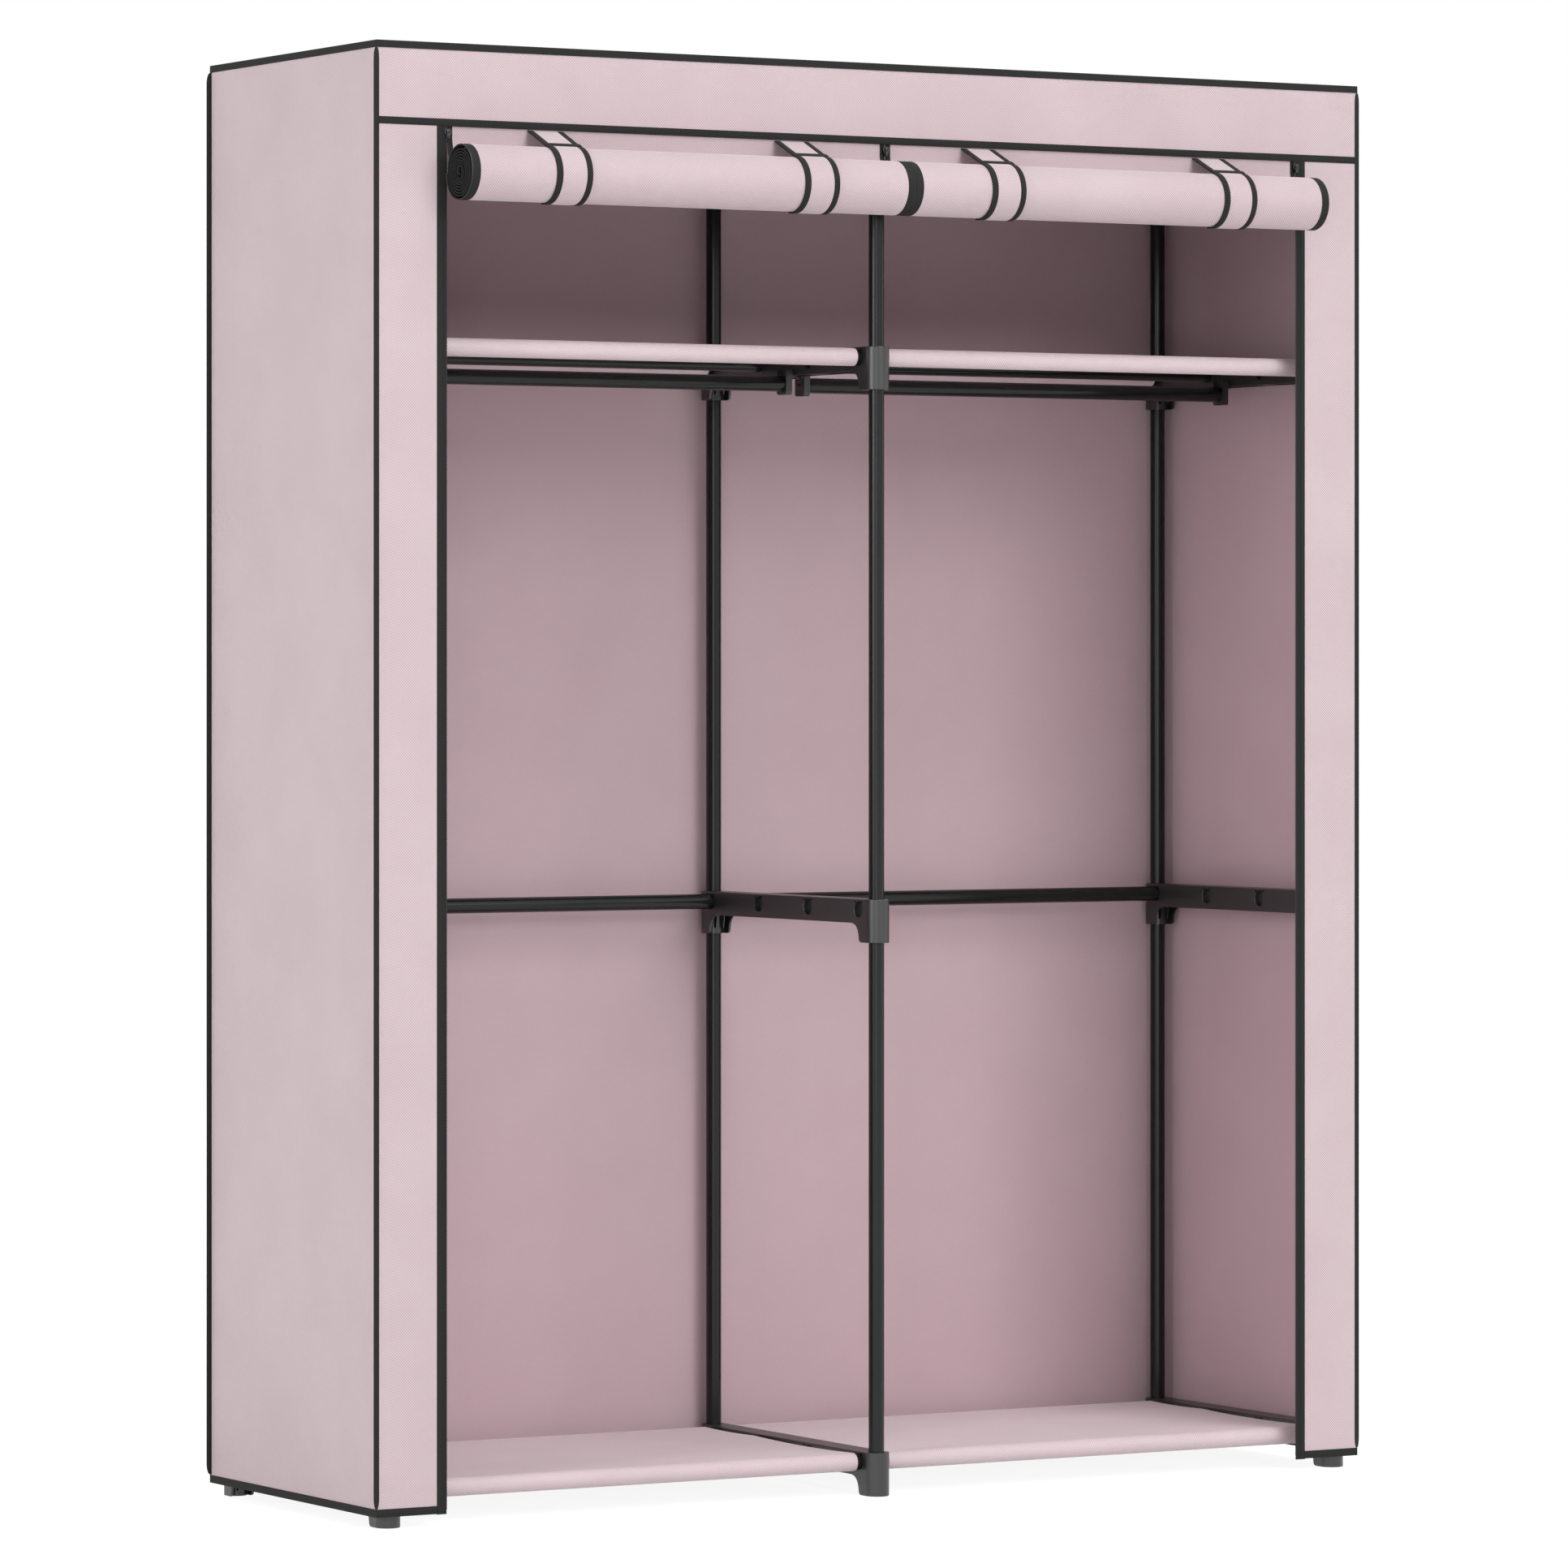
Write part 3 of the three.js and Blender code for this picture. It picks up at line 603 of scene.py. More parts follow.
def hook_mesh(top):
    """Drawn for a rod that runs towards +X, from just off the beam's face and about the rod's axis."""
    under = top - HOOK_GRIP - HOOK_PLAY
    end = HOOK_OUT + HOOK_LENGTH
    outline = rounded_outline((-HOOK_HALF, -HOOK_DROP), (HOOK_HALF, top + 2 * PAST), HOOK_CORNER)
    body = as_object([prism(outline, HOOK_OUT, end)])
    spacer = block((0, -SPACER_HALF, under - CLIP_WALL), (HOOK_OUT + PAST, SPACER_HALF, top))
    foot = block((-CLIP_BACK, -CLIP_HALF, under - CLIP_WALL), (PAST, CLIP_HALF, under))
    clip = block((-CLIP_BACK, -CLIP_HALF, under - PAST), (CLIP_WALL - CLIP_BACK, CLIP_HALF, top))
    pip = bar(PIP_RADIUS, Vector((HOOK_OUT + PAST, 0, 0)), Vector((HOOK_OUT - PIP_REACH, 0, 0)), PIP_SIDES)
    arch = arc_points(ARCH_RADIUS, 0, 180, 16) + arc_points(ARCH_RADIUS - ARCH_WIDTH, 180, 0, 16)
    proud = [prism(arch, HOOK_OUT - HOOK_RIB, HOOK_OUT + PAST)]
    for i in range(HOOK_RIBS):
        place = (i - (HOOK_RIBS - 1) / 2) * 2 * (HOOK_HALF - RIB_MARGIN) / (HOOK_RIBS - 1)
        proud.append(block(
            (HOOK_OUT - HOOK_RIB, place - HOOK_RIB, HOOK_EDGE * 2 - HOOK_DROP),
            (HOOK_OUT + PAST, place + HOOK_RIB, RIB_TOP),
        ))
    bed = arc_points(BORE_RADIUS, 180, 360, 20)
    bed += [(BORE_RADIUS, top + 3 * PAST), (-BORE_RADIUS, top + 3 * PAST)]
    trough = prism(bed, HOOK_OUT + HOOK_STOP, end + PAST)
    crown = block((HOOK_OUT - PAST, -HOOK_HALF - PAST, top), (end + PAST, HOOK_HALF + PAST, top + 3 * PAST))
    worked(body, ("DIFFERENCE", [trough]), ("DIFFERENCE", [crown]))
    worked(body, *[("UNION", [part]) for part in (spacer, foot, clip, pip, *proud)])
    round_edges(body, HOOK_EDGE, 50)
    return mesh_out_of(body, ABS)


for bay in ("left", "right"):
    axis = middle_of(f"hanging_rod_{bay}")
    for side, facing in (("left", 1), ("right", -1)):
        node = f"rod_hook_{bay}_bay_{side}"
        low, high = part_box(node)
        mesh = hook_mesh(high.z - axis.z)
        face = low.x + CLIP_BACK if facing > 0 else high.x - CLIP_BACK
        turn = Matrix.Identity(4) if facing > 0 else Matrix.Rotation(math.pi, 4, "Z")
        mesh.transform(Matrix.Translation((face, axis.y, axis.z)) @ turn)
        place_casting(f"{node}_moulding", mesh, nodes=[node], slot="moulded_plastic")

# Hanging rods: one length of the same coated steel tube in each bay. It is dropped into its two hooks
# from above and lies loose in them.
coated_tubes("hanging_rod_", HOOK_OUT)

# Shelves: spunbond polypropylene cloth, pressed with a fine diagonal weave that makes it look woven.
# A sleeve is sewn along the front and the rear edge and drawn over a tube; the cloth sags between.
PINK = "E8D7DB"
PINK_FURROW = "B39CA3"
SHELF_PINK_PAINTED_LIGHT = "F2E2E6"  # the cover's cloth painted a shade lighter: painted light for the light that falls on the shelves
SHELF_FURROW_PAINTED_LIGHT = "BEA7AE"
WEAVE_PITCH = 0.0024  # between furrows; the real 2.1 mm is drawn a little coarser so that it shows
FIBRE = 0.0016
SHELF_CLOTH = 0.0012
SLEEVE_FIT = 0.0003  # between a tube and the sleeve on it
SLEEVE_JOIN = 0.019  # how far in from the tube's centre the sleeve is sewn down
SLEEVE_STEPS = 26
SHELF_SAG = 0.0022
SHELF_STEPS = 10


def sine_wave(tree, value, pitch):
    phase = add_node(tree, "Math", {0: value, 1: 2 * math.pi / pitch}, operation="MULTIPLY")
    return add_node(tree, "Math", {0: phase}, operation="SINE")


def pressed_cloth(tree, high_code, low_code, upright=False):
    """The weave lies along the sheet, or, where the sheet is upright, along the width and the height."""
    place = add_node(tree, "TexCoord").outputs["Object"]
    laid = place if upright else add_node(tree, "UVMap", uv_map="UVMap")
    axes = add_node(tree, "SeparateXYZ", {0: laid}).outputs
    waves = []
    for operation in ("ADD", "SUBTRACT"):
        slant = add_node(tree, "Math", {0: axes["X"], 1: axes["Z" if upright else "Y"]}, operation=operation)
        waves.append(sine_wave(tree, slant, WEAVE_PITCH * math.sqrt(2)))
    fibre = add_node(tree, "TexNoise", {"Vector": place, "Scale": 1 / FIBRE, "Detail": 3.0})
    cloud = add_node(tree, "TexNoise", {"Vector": place, "Scale": 9.0, "Detail": 3.0})
    relief = 0.5
    for layer, share in ((waves[0], 0.30), (waves[1], 0.24), (fibre, 0.25)):
        relief = add_node(tree, "Math", {0: layer, 1: share, 2: relief}, operation="MULTIPLY_ADD")
    clouded = add_node(tree, "Math", {0: cloud, 1: 0.3, 2: relief}, operation="MULTIPLY_ADD")
    level = add_node(tree, "MapRange", {"Value": clouded, "From Min": 0.2, "From Max": 1.35})
    return {
        "Base Color": between(tree, level, low_code, high_code),
        "Roughness": 0.66,
        "Sheen Weight": 0.50,
        "Sheen Roughness": 0.38,
        "Specular IOR Level": 0.3,
        "Normal": add_node(tree, "Bump", {"Height": relief, "Strength": 0.5, "Distance": 0.0003}),
    }


def distances(line):
    total = [0.0]
    for a, b in zip(line, line[1:]):
        total.append(total[-1] + (b - a).length)
    return total


def even(start, end, steps):
    return [start + (end - start) * i / steps for i in range(steps + 1)]


def spread(line, low, high, steps):
    """A line of points repeated at even steps across the width: a sheet's grid."""
    return [[point + Vector((x, 0, 0)) for x in even(low, high, steps)] for point in line]


def cloth_piece(name, grid, thickness, material, **extra):
    """A sheet of cloth round a grid of points, its weave laid out in real metres."""
    rows, columns = len(grid), len(grid[0])
    run = distances([row[columns // 2] for row in grid])
    width = distances(grid[rows // 2])
    sides = [[], []]
    for i in range(rows):
        for j in range(columns):
            down = grid[min(i + 1, rows - 1)][j] - grid[max(i - 1, 0)][j]
            over = grid[i][min(j + 1, columns - 1)] - grid[i][max(j - 1, 0)]
            normal = down.cross(over).normalized() * (thickness / 2)
            sides[0].append(grid[i][j] + normal)
            sides[1].append(grid[i][j] - normal)
    size = rows * columns
    faces, uvs = [], []
    for side in (0, 1):
        for i in range(rows - 1):
            for j in range(columns - 1):
                a = side * size + i * columns + j
                faces.append((a, a + 1, a + 1 + columns, a + columns))
                corners = ((i, j), (i, j + 1), (i + 1, j + 1), (i + 1, j))
                uvs.append(tuple((width[n], run[m]) for m, n in corners))
    edge = [(0, j) for j in range(columns)] + [(i, columns - 1) for i in range(1, rows)]
    edge += [(rows - 1, j) for j in range(columns - 2, -1, -1)] + [(i, 0) for i in range(rows - 2, 0, -1)]
    for (i, j), (m, n) in zip(edge, edge[1:] + edge[:1]):
        a, b = i * columns + j, m * columns + n
        faces.append((a, b, size + b, size + a))
        uvs.append(((width[j], run[i]), (width[n], run[m]), (width[n], run[m]), (width[j], run[i])))
    return make_piece(name, sides[0] + sides[1], faces, material, uvs=uvs, **extra)


def shelf_line(front, support, rear, axis_z):
    """The cloth seen on edge: round the front tube, back over the three tubes and round the rear one."""
    low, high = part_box("cross_tube_left_bottom_front")
    radius = (high.z - low.z) / 2 + SLEEVE_FIT + SHELF_CLOTH / 2
    join = Vector((SLEEVE_JOIN, radius - SHELF_CLOTH))
    start = math.atan2(join.y, join.x) - math.acos(radius / join.length)
    sleeve = [join]
    for i in range(SLEEVE_STEPS + 1):
        angle = start - (start + 1.5 * math.pi) * i / SLEEVE_STEPS
        sleeve.append(Vector((radius * math.cos(angle), radius * math.sin(angle))))
    line = [(front + p.x, p.y) for p in sleeve]
    for low, high in ((front, support), (support, rear)):
        for y in even(low, high, SHELF_STEPS)[1:-1]:
            share = (y - low) / (high - low)
            line.append((y, radius - SHELF_SAG * 4 * share * (1 - share) * (high - low) / (support - front)))
        if high == support:
            line.append((support, radius))
    line += [(rear - p.x, p.y) for p in reversed(sleeve)]
    return [Vector((0, y, axis_z + z)) for y, z in line]


PINK_CLOTH = new_material("pressed_polypropylene_cloth", pressed_cloth, PINK, PINK_FURROW)
# The shelves take a lighter copy of the cover's cloth: painted light on their tops and sleeves.
PAINTED_LIGHT_SHELF_CLOTH = new_material("pressed_shelf_cloth_painted_light", pressed_cloth, SHELF_PINK_PAINTED_LIGHT, SHELF_FURROW_PAINTED_LIGHT)
for bay in ("left", "right"):
    for level, tubes in (("lower", "bottom"), ("upper", "shelf")):
        carriers = [f"cross_tube_{bay}_{tubes}_{place}" for place in ("front", "support", "rear")]
        front, support, rear = [middle_of(carrier) for carrier in carriers]
        line = shelf_line(front.y, support.y, rear.y, front.z)
        low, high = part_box(f"shelf_cloth_{bay}_{level}")
        piece = cloth_piece(
            f"shelf_cloth_{bay}_{level}_sheet", spread(line, low.x, high.x, 4), SHELF_CLOTH, PAINTED_LIGHT_SHELF_CLOTH,
            nodes=[f"shelf_cloth_{bay}_{level}"], slot="pink_cloth",
        )

# Cover, sides and back: one length of the same cloth, taken round three sides of the frame. Its faces inside
# the
# wardrobe are painted a shade deeper: painted shade, for the dimmer light inside.
# Painted shade: a deeper, pinker copy of the cover's colours, for the dimmer light inside the wardrobe.
INSIDE_PAINTED_SHADE = "DAC2C8"
INSIDE_PAINTED_SHADE_FURROW = "BCA1A8"
CORNER_RADIUS = 0.003
CORNER_STEPS = 5
COVER_CLOTH = 0.0012


def corner_arc(x, y, start, end):
    arc = arc_points(CORNER_RADIUS, start, end, CORNER_STEPS)
    return [Vector((x + a, y + b, 0)) for a, b in arc]


wall_low, wall_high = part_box("cover_sides_and_back")
left_x, right_x = wall_low.x + COVER_CLOTH / 2, wall_high.x - COVER_CLOTH / 2
back_y = wall_high.y - COVER_CLOTH / 2
turn_y, turn_left, turn_right = back_y - CORNER_RADIUS, left_x + CORNER_RADIUS, right_x - CORNER_RADIUS
wall_plan = [Vector((left_x, y, 0)) for y in even(wall_low.y, turn_y, 4)[:-1]]
wall_plan += corner_arc(turn_left, turn_y, 180, 90)
wall_plan += [Vector((x, back_y, 0)) for x in even(turn_left, turn_right, 8)[1:-1]]
wall_plan += corner_arc(turn_right, turn_y, 90, 0)
wall_plan += [Vector((right_x, y, 0)) for y in even(turn_y, wall_low.y, 4)[1:]]
grid = [[point + Vector((0, 0, z)) for point in wall_plan] for z in even(wall_low.z, wall_high.z, 8)]
walls = cloth_piece(
    "cover_walls", grid, COVER_CLOTH, PINK_CLOTH, nodes=["cover_sides_and_back"], slot="pink_cloth",
)
PAINTED_SHADE_CLOTH = new_material("pressed_cloth_painted_shade", pressed_cloth, INSIDE_PAINTED_SHADE, INSIDE_PAINTED_SHADE_FURROW)


def paint_inside_shade(piece):
    """Gives the faces that look into the wardrobe a deeper copy of the cloth, as painted shade."""
    middle = middle_of("cover_sides_and_back")
    piece.data.materials.append(PAINTED_SHADE_CLOTH)
    for face in piece.data.polygons:
        if face.normal.dot(middle - face.center) > 0 and face.area > 1e-4:
            face.material_index = 1


paint_inside_shade(walls)

# Cover, top: a flat panel of the cover's cloth, sewn along its edge to the sides, the back and the front.
# It lies on the top brackets and tubes and sinks a little between them.
TOP_SAG = 0.0026
top_low, top_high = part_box("cover_top")
bracket_x = [middle_of(f"bracket_{place}_top").x for place in CUP_SIDES]


def top_sag(x, y):
    if not bracket_x[0] < x < bracket_x[2]:
        return 0.0
    across = abs(math.sin(math.pi * (x - bracket_x[0]) / (bracket_x[1] - bracket_x[0])))
    along = math.sin(math.pi * (y - top_low.y) / (top_high.y - top_low.y))
    return TOP_SAG * across * min(1.0, 1.6 * along)


top_z = (top_low.z + top_high.z) / 2
grid = [
    [Vector((x, y, top_z - top_sag(x, y))) for x in even(top_low.x, top_high.x, 56)]
    for y in even(top_low.y, top_high.y, 20)
]
roof = cloth_piece("cover_roof", grid, COVER_CLOTH, PINK_CLOTH, nodes=["cover_top"], slot="pink_cloth")
paint_inside_shade(roof)

# Cover, front: a valance across the top and a jamb down each side of the doorway, cut from the cover's
# cloth, and sewn edge to edge and to the sides and the top.
VALANCE_BOTTOM = 1.6434
DOORWAY_HALF = 0.6075
front_low, front_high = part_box("cover_front")
front_y = (front_low.y + front_high.y) / 2


def front_panel(name, low, high, steps, nodes=()):
    """low and high are (x, z) corners; the panel is one sheet in the front's plane."""
    line = [Vector((0, front_y, z)) for z in even(low[1], high[1], steps[1])]
    grid = spread(line, low[0], high[0], steps[0])
    return cloth_piece(name, grid, COVER_CLOTH, PINK_CLOTH, nodes=nodes, slot="pink_cloth")


valance = front_panel(
    "cover_valance", (front_low.x, VALANCE_BOTTOM), (front_high.x, front_high.z), (10, 2), ["cover_front"],
)
for side, start, end in (("left", front_low.x, -DOORWAY_HALF), ("right", DOORWAY_HALF, front_high.x)):
    front_panel(f"cover_jamb_{side}", (start, front_low.z), (end, VALANCE_BOTTOM), (2, 8))

# Bindings: dark polyester grosgrain tape, folded over the cover's edges and seams and stitched down.
# Close cross ribs and a row of stitches 1.6 mm in from each edge show near to; it looks matt black far off.
TAPE = 0.0007
TAPE_COLOURS = ("1F2020", "2A2A2B")
TAPE_RIB = 0.0016  # the real rib of 0.7 mm, drawn coarser so that it shows
TAPE_CORNER = 0.0003
STITCH_IN = 0.0016
STITCH_HALF = 0.00035
STITCH_PITCH = 0.0032
TOP_TAPE = 0.008  # its width on either side of the top seam
HEM_TAPE = 0.0092
HEM_START = 0.0118  # from the doorway's edge, where the zip's tape covers its cut end
VALANCE_TAPE = 0.0080
VALANCE_IN = 0.003  # how far its ends stay inside the corners' bindings
TAPE_UNDER = 0.0006  # how far a tape wraps past the cloth's cut edge
FIN_OUT = {1: 0.0034, -1: 0.0056}  # at the front and at the rear
FIN_OVER = 0.0032  # in over the panel
FIN_TAPER = 0.014  # the length over which it narrows to each end
FIN_DEPTH = 0.0011
FIN_CORNER = 0.0006
FIN_STEPS = 8
FIN_ROOT = 0.15  # the share of its width that is left at its ends


def ribbed_tape(tree, dark, light):
    laid = add_node(tree, "UVMap", uv_map="UVMap")
    axes = add_node(tree, "SeparateXYZ", {0: laid}).outputs
    along, across = axes["X"], axes["Y"]
    relief = 0.5
    for value, pitch, share in ((along, TAPE_RIB, 0.5), (across, TAPE_RIB * 0.8, 0.2)):
        wave = sine_wave(tree, value, pitch)
        relief = add_node(tree, "Math", {0: wave, 1: share, 2: relief}, operation="MULTIPLY_ADD")
    in_row = add_node(tree, "Math", {0: across, 1: STITCH_IN, 2: STITCH_HALF}, operation="COMPARE")
    dashed = sine_wave(tree, along, STITCH_PITCH)
    dash = add_node(tree, "Math", {0: dashed, 1: -0.35}, operation="GREATER_THAN")
    stitch = add_node(tree, "Math", {0: in_row, 1: dash}, operation="MULTIPLY")
    relief = add_node(tree, "Math", {0: stitch, 1: 0.8, 2: relief}, operation="MULTIPLY_ADD")
    level = add_node(tree, "MapRange", {"Value": relief, "From Min": -0.2, "From Max": 1.8})
    return {
        "Base Color": between(tree, level, dark, light),
        "Roughness": 0.8,
        "Specular IOR Level": 0.25,
        "Normal": add_node(tree, "Bump", {"Height": relief, "Strength": 0.3, "Distance": 0.0002}),
    }


def tape_section(low, high, corner=TAPE_CORNER):
    """A tape seen on end: a rectangle in the two axes of its stations, with rounded edges."""
    return rounded_outline(low, high, corner, steps=2)


def swept(name, stations, profile, material, closed=False, **extra):
    """A closed profile carried along stations, each an origin and the two axes it is drawn in."""
    points = [origin + across * a + up * b for origin, across, up in stations for a, b in profile]
    count, total = len(profile), len(stations)
    run = distances([s[0] for s in stations] + ([stations[0][0]] if closed else []))
    girth = distances([Vector((a, b, 0)) for a, b in profile] + [Vector((*profile[0], 0))])
    faces, uvs = [], []
    for i in range(total if closed else total - 1):
        j = (i + 1) % total
        for k in range(count):
            m = (k + 1) % count
            faces.append((i * count + k, i * count + m, j * count + m, j * count + k))
            corners = ((i, k), (i, k + 1), (i + 1, k + 1), (i + 1, k))
            uvs.append(tuple((run[n], girth[p]) for n, p in corners))
    if not closed:
        for i in (0, total - 1):
            faces.append(tuple(i * count + k for k in range(count)))
            uvs.append(tuple((run[i], 0.0) for _ in range(count)))
    return make_piece(name, points, faces, material, uvs=uvs, **extra)


def plan_stations(corners, z, closed):
    """Stations at the corners of a plan, mitred, with the first axis pointing out and the second up."""
    count = len(corners)
    stations = []
    for i, corner in enumerate(corners):
        before = corner - corners[i - 1] if i or closed else corners[1] - corners[0]
        after = corners[(i + 1) % count] - corner if i < count - 1 or closed else before
        before, after = before.normalized(), after.normalized()
        out = Vector((before.y, -before.x)) + Vector((after.y, -after.x))
        out = out / out.length / max(0.1, out.normalized().dot(Vector((before.y, -before.x))))
        stations.append((Vector((corner.x, corner.y, z)), Vector((out.x, out.y, 0)), up_z))
    return stations


def corner_fin(name, x, y, side, front):
    """A bound seam down a corner: it stands out sideways in the plane of the front or the back."""
    low = front_low.z + HEM_TAPE
    high = top_edge - TOP_TAPE
    ends = []
    for i in range(FIN_STEPS + 1):
        turn = math.pi / 2 * i / FIN_STEPS
        ends.append((low + FIN_TAPER * (1 - math.cos(turn)), math.sin(turn)))
    ends += [(high - (z - low), share) for z, share in reversed(ends)]
    out, off = Vector((side, 0, 0)), Vector((0, -front, 0))
    stations = [(Vector((x, y, z)), out * (FIN_ROOT + (1 - FIN_ROOT) * share), off) for z, share in ends]
    profile = tape_section((-FIN_OVER, -FIN_DEPTH - TAPE), (FIN_OUT[front], TAPE), FIN_CORNER)
    return swept(name, stations, profile, GROSGRAIN)


GROSGRAIN = new_material("grosgrain_tape", ribbed_tape, *TAPE_COLOURS)
up_z, out_y = Vector((0, 0, 1)), Vector((0, -1, 0))
outer_low, outer_high = Vector((front_low.x, front_low.y)), Vector((front_high.x, wall_high.y))
top_edge = top_high.z
# Seen from above the plan runs anticlockwise, so that the cover's outside is on its right
ring = [
    outer_low, Vector((outer_high.x, outer_low.y)), outer_high, Vector((outer_low.x, outer_high.y)),
]
roof_profile = [
    (TAPE, -TOP_TAPE), (TAPE, 0), (0.7 * TAPE, 0.7 * TAPE), (0, TAPE), (-TOP_TAPE, TAPE),
    (-TOP_TAPE, 0.2 * TAPE), (-0.5 * TAPE, 0), (0.1 * TAPE, -TOP_TAPE),
]
roof_binding = swept(
    "top_seam_binding", plan_stations(ring, top_edge, True), roof_profile, GROSGRAIN, closed=True,
)
hem_ends = [Vector((side * (DOORWAY_HALF + HEM_START), outer_low.y)) for side in (1, -1)]
hem_profile = tape_section((-COVER_CLOTH - TAPE, -TAPE_UNDER), (TAPE, HEM_TAPE - TAPE_CORNER))
hem_binding = swept(
    "hem_binding", plan_stations([hem_ends[0], *ring[1:], ring[0], hem_ends[1]], front_low.z, False),
    hem_profile, GROSGRAIN,
)
valance_binding = swept(
    "valance_binding", [
        (Vector((x, outer_low.y, VALANCE_BOTTOM)), out_y, up_z)
        for x in (outer_low.x + VALANCE_IN, outer_high.x - VALANCE_IN)
    ],
    tape_section((-COVER_CLOTH - TAPE, -TAPE_UNDER), (TAPE, VALANCE_TAPE)), GROSGRAIN,
)
for side_name, side, x in (("left", -1, outer_low.x), ("right", 1, outer_high.x)):
    corner_fin(f"corner_binding_front_{side_name}", x, outer_low.y, side, 1)
    corner_fin(f"corner_binding_rear_{side_name}", x, outer_high.y, side, -1)

# Zips: a coil of black nylon sewn along woven tape, down each jamb and up the middle between the doors.
# The tape is closer woven than the binding and darker; the coil catches small glints down its edge.
ZIP_TAPE = 0.0125  # from the doorway's edge to the far side of the jamb's binding
ZIP_TAPE_BACK = 0.0058  # to where that binding covers the zip's own tape
ZIP_EDGE = 0.0004  # how far the tape's edge stands past the cloth's, out and through it
ZIP_TAPE_BELOW = 0.0012
ZIP_START = 0.004  # from the hem up to the lowest tooth
ZIP_STOP = 0.016  # from the highest tooth up to the valance
ZIP_COLOURS = ("1A1B1B", "282929")
TOOTH_PITCH = 0.0026
TOOTH_SIZE = (0.0009, 0.0015, 0.0021)  # out from the tape's edge, through it, and along it
TOOTH_SECTION = ((0, 1), (0.7, 0.8), (1, 0.35), (1, -0.35), (0.7, -0.8), (0, -1))


def teeth(name, line, out, **extra):
    """A row of teeth along a line, each pointing out from the tape's edge."""
    points, faces = [], []
    marks = distances(line)
    segment = 0
    for i in range(int(marks[-1] / TOOTH_PITCH)):
        place = (i + 0.5) * TOOTH_PITCH
        while marks[segment + 1] < place:
            segment += 1
        share = (place - marks[segment]) / (marks[segment + 1] - marks[segment])
        centre = line[segment].lerp(line[segment + 1], share)
        along = (line[segment + 1] - line[segment]).normalized()
        deep = along.cross(out).normalized()
        start = len(points)
        for u, w in TOOTH_SECTION:
            corner = centre + out * (u * TOOTH_SIZE[0]) + deep * (w * TOOTH_SIZE[1] / 2)
            points += [corner + along * (v * TOOTH_SIZE[2]) for v in (-0.5, 0.5)]
        faces += [tuple(start + k for k in range(first, 12, 2)) for first in (0, 1)]
        faces += [
            (start + k, start + k + 1, start + (k + 3) % 12, start + (k + 2) % 12) for k in range(0, 12, 2)
        ]
    return make_piece(name, points, faces, NYLON, **extra)


def black_nylon(tree):
    place = add_node(tree, "TexCoord").outputs["Object"]
    drift = add_node(tree, "TexNoise", {"Vector": place, "Scale": 220.0, "Detail": 1.0})
    return {
        "Base Color": between(tree, drift, "191B1B", "282A2A"),
        "Roughness": add_node(tree, "MapRange", {"Value": drift, "To Min": 0.3, "To Max": 0.45}),
    }


NYLON = new_material("moulded_nylon_coil", black_nylon)
ZIP_CLOTH = new_material("woven_zip_tape", ribbed_tape, *ZIP_COLOURS)
zip_band = tape_section((ZIP_TAPE_BACK, -COVER_CLOTH - TAPE), (ZIP_TAPE, TAPE))
zip_edge = tape_section((-ZIP_EDGE, -COVER_CLOTH - ZIP_EDGE), (ZIP_TAPE_BACK, ZIP_EDGE))
for side_name, side in (("left", -1), ("right", 1)):
    stations = [
        (Vector((side * DOORWAY_HALF, outer_low.y, z)), Vector((side, 0, 0)), out_y)
        for z in (front_low.z - ZIP_TAPE_BELOW, VALANCE_BOTTOM)
    ]
    x = side * (DOORWAY_HALF - ZIP_EDGE)
    line = [Vector((x, front_y, z)) for z in (front_low.z + ZIP_START, VALANCE_BOTTOM - ZIP_STOP)]
    trim = [
        swept(f"jamb_binding_{side_name}", stations, zip_band, GROSGRAIN),
        swept(f"jamb_zip_tape_{side_name}", stations, zip_edge, ZIP_CLOTH),
        teeth(f"jamb_zip_teeth_{side_name}", line, Vector((-side, 0, 0))),
    ]

# Doors, the hanging part: a short length between the valance and the roll, with zip tape at each side.
# It stretches down when its door is let down, so no piece of it rides on the cover or on the door.
HANG_CLOTH = 0.001
HANG_STEPS = 6
HANG_FOOT = (0.0011, 0.0006)  # where it meets the roll: in from its back, and above its middle
EDGE_TAPE = 0.0062  # the zip tape on a door's edge: its width, and half its thickness
EDGE_HALF = 0.0009
DOOR_TOOTH = 0.5  # how far a door's teeth stand out, as a share of a jamb's


def hanging_line(y, centre, radius, top, bend):
    points = even(Vector((0, y, top)), Vector((0, y, bend)), HANG_STEPS)
    foot = Vector((0, centre.y + radius - HANG_FOOT[0], centre.z + HANG_FOOT[1]))
    return points + even(points[-1], foot, HANG_STEPS)[1:]


def line_stations(line, x, side):
    """Stations along a line moved to x, with the first axis to one side and the second off the sheet."""
    stations = []
    for i, point in enumerate(line):
        along = (line[min(i + 1, len(line) - 1)] - line[max(i - 1, 0)]).normalized()
        off = along.cross(Vector((1, 0, 0))) * -1
        stations.append((point + Vector((x, 0, 0)), Vector((side, 0, 0)), off))
    return stations


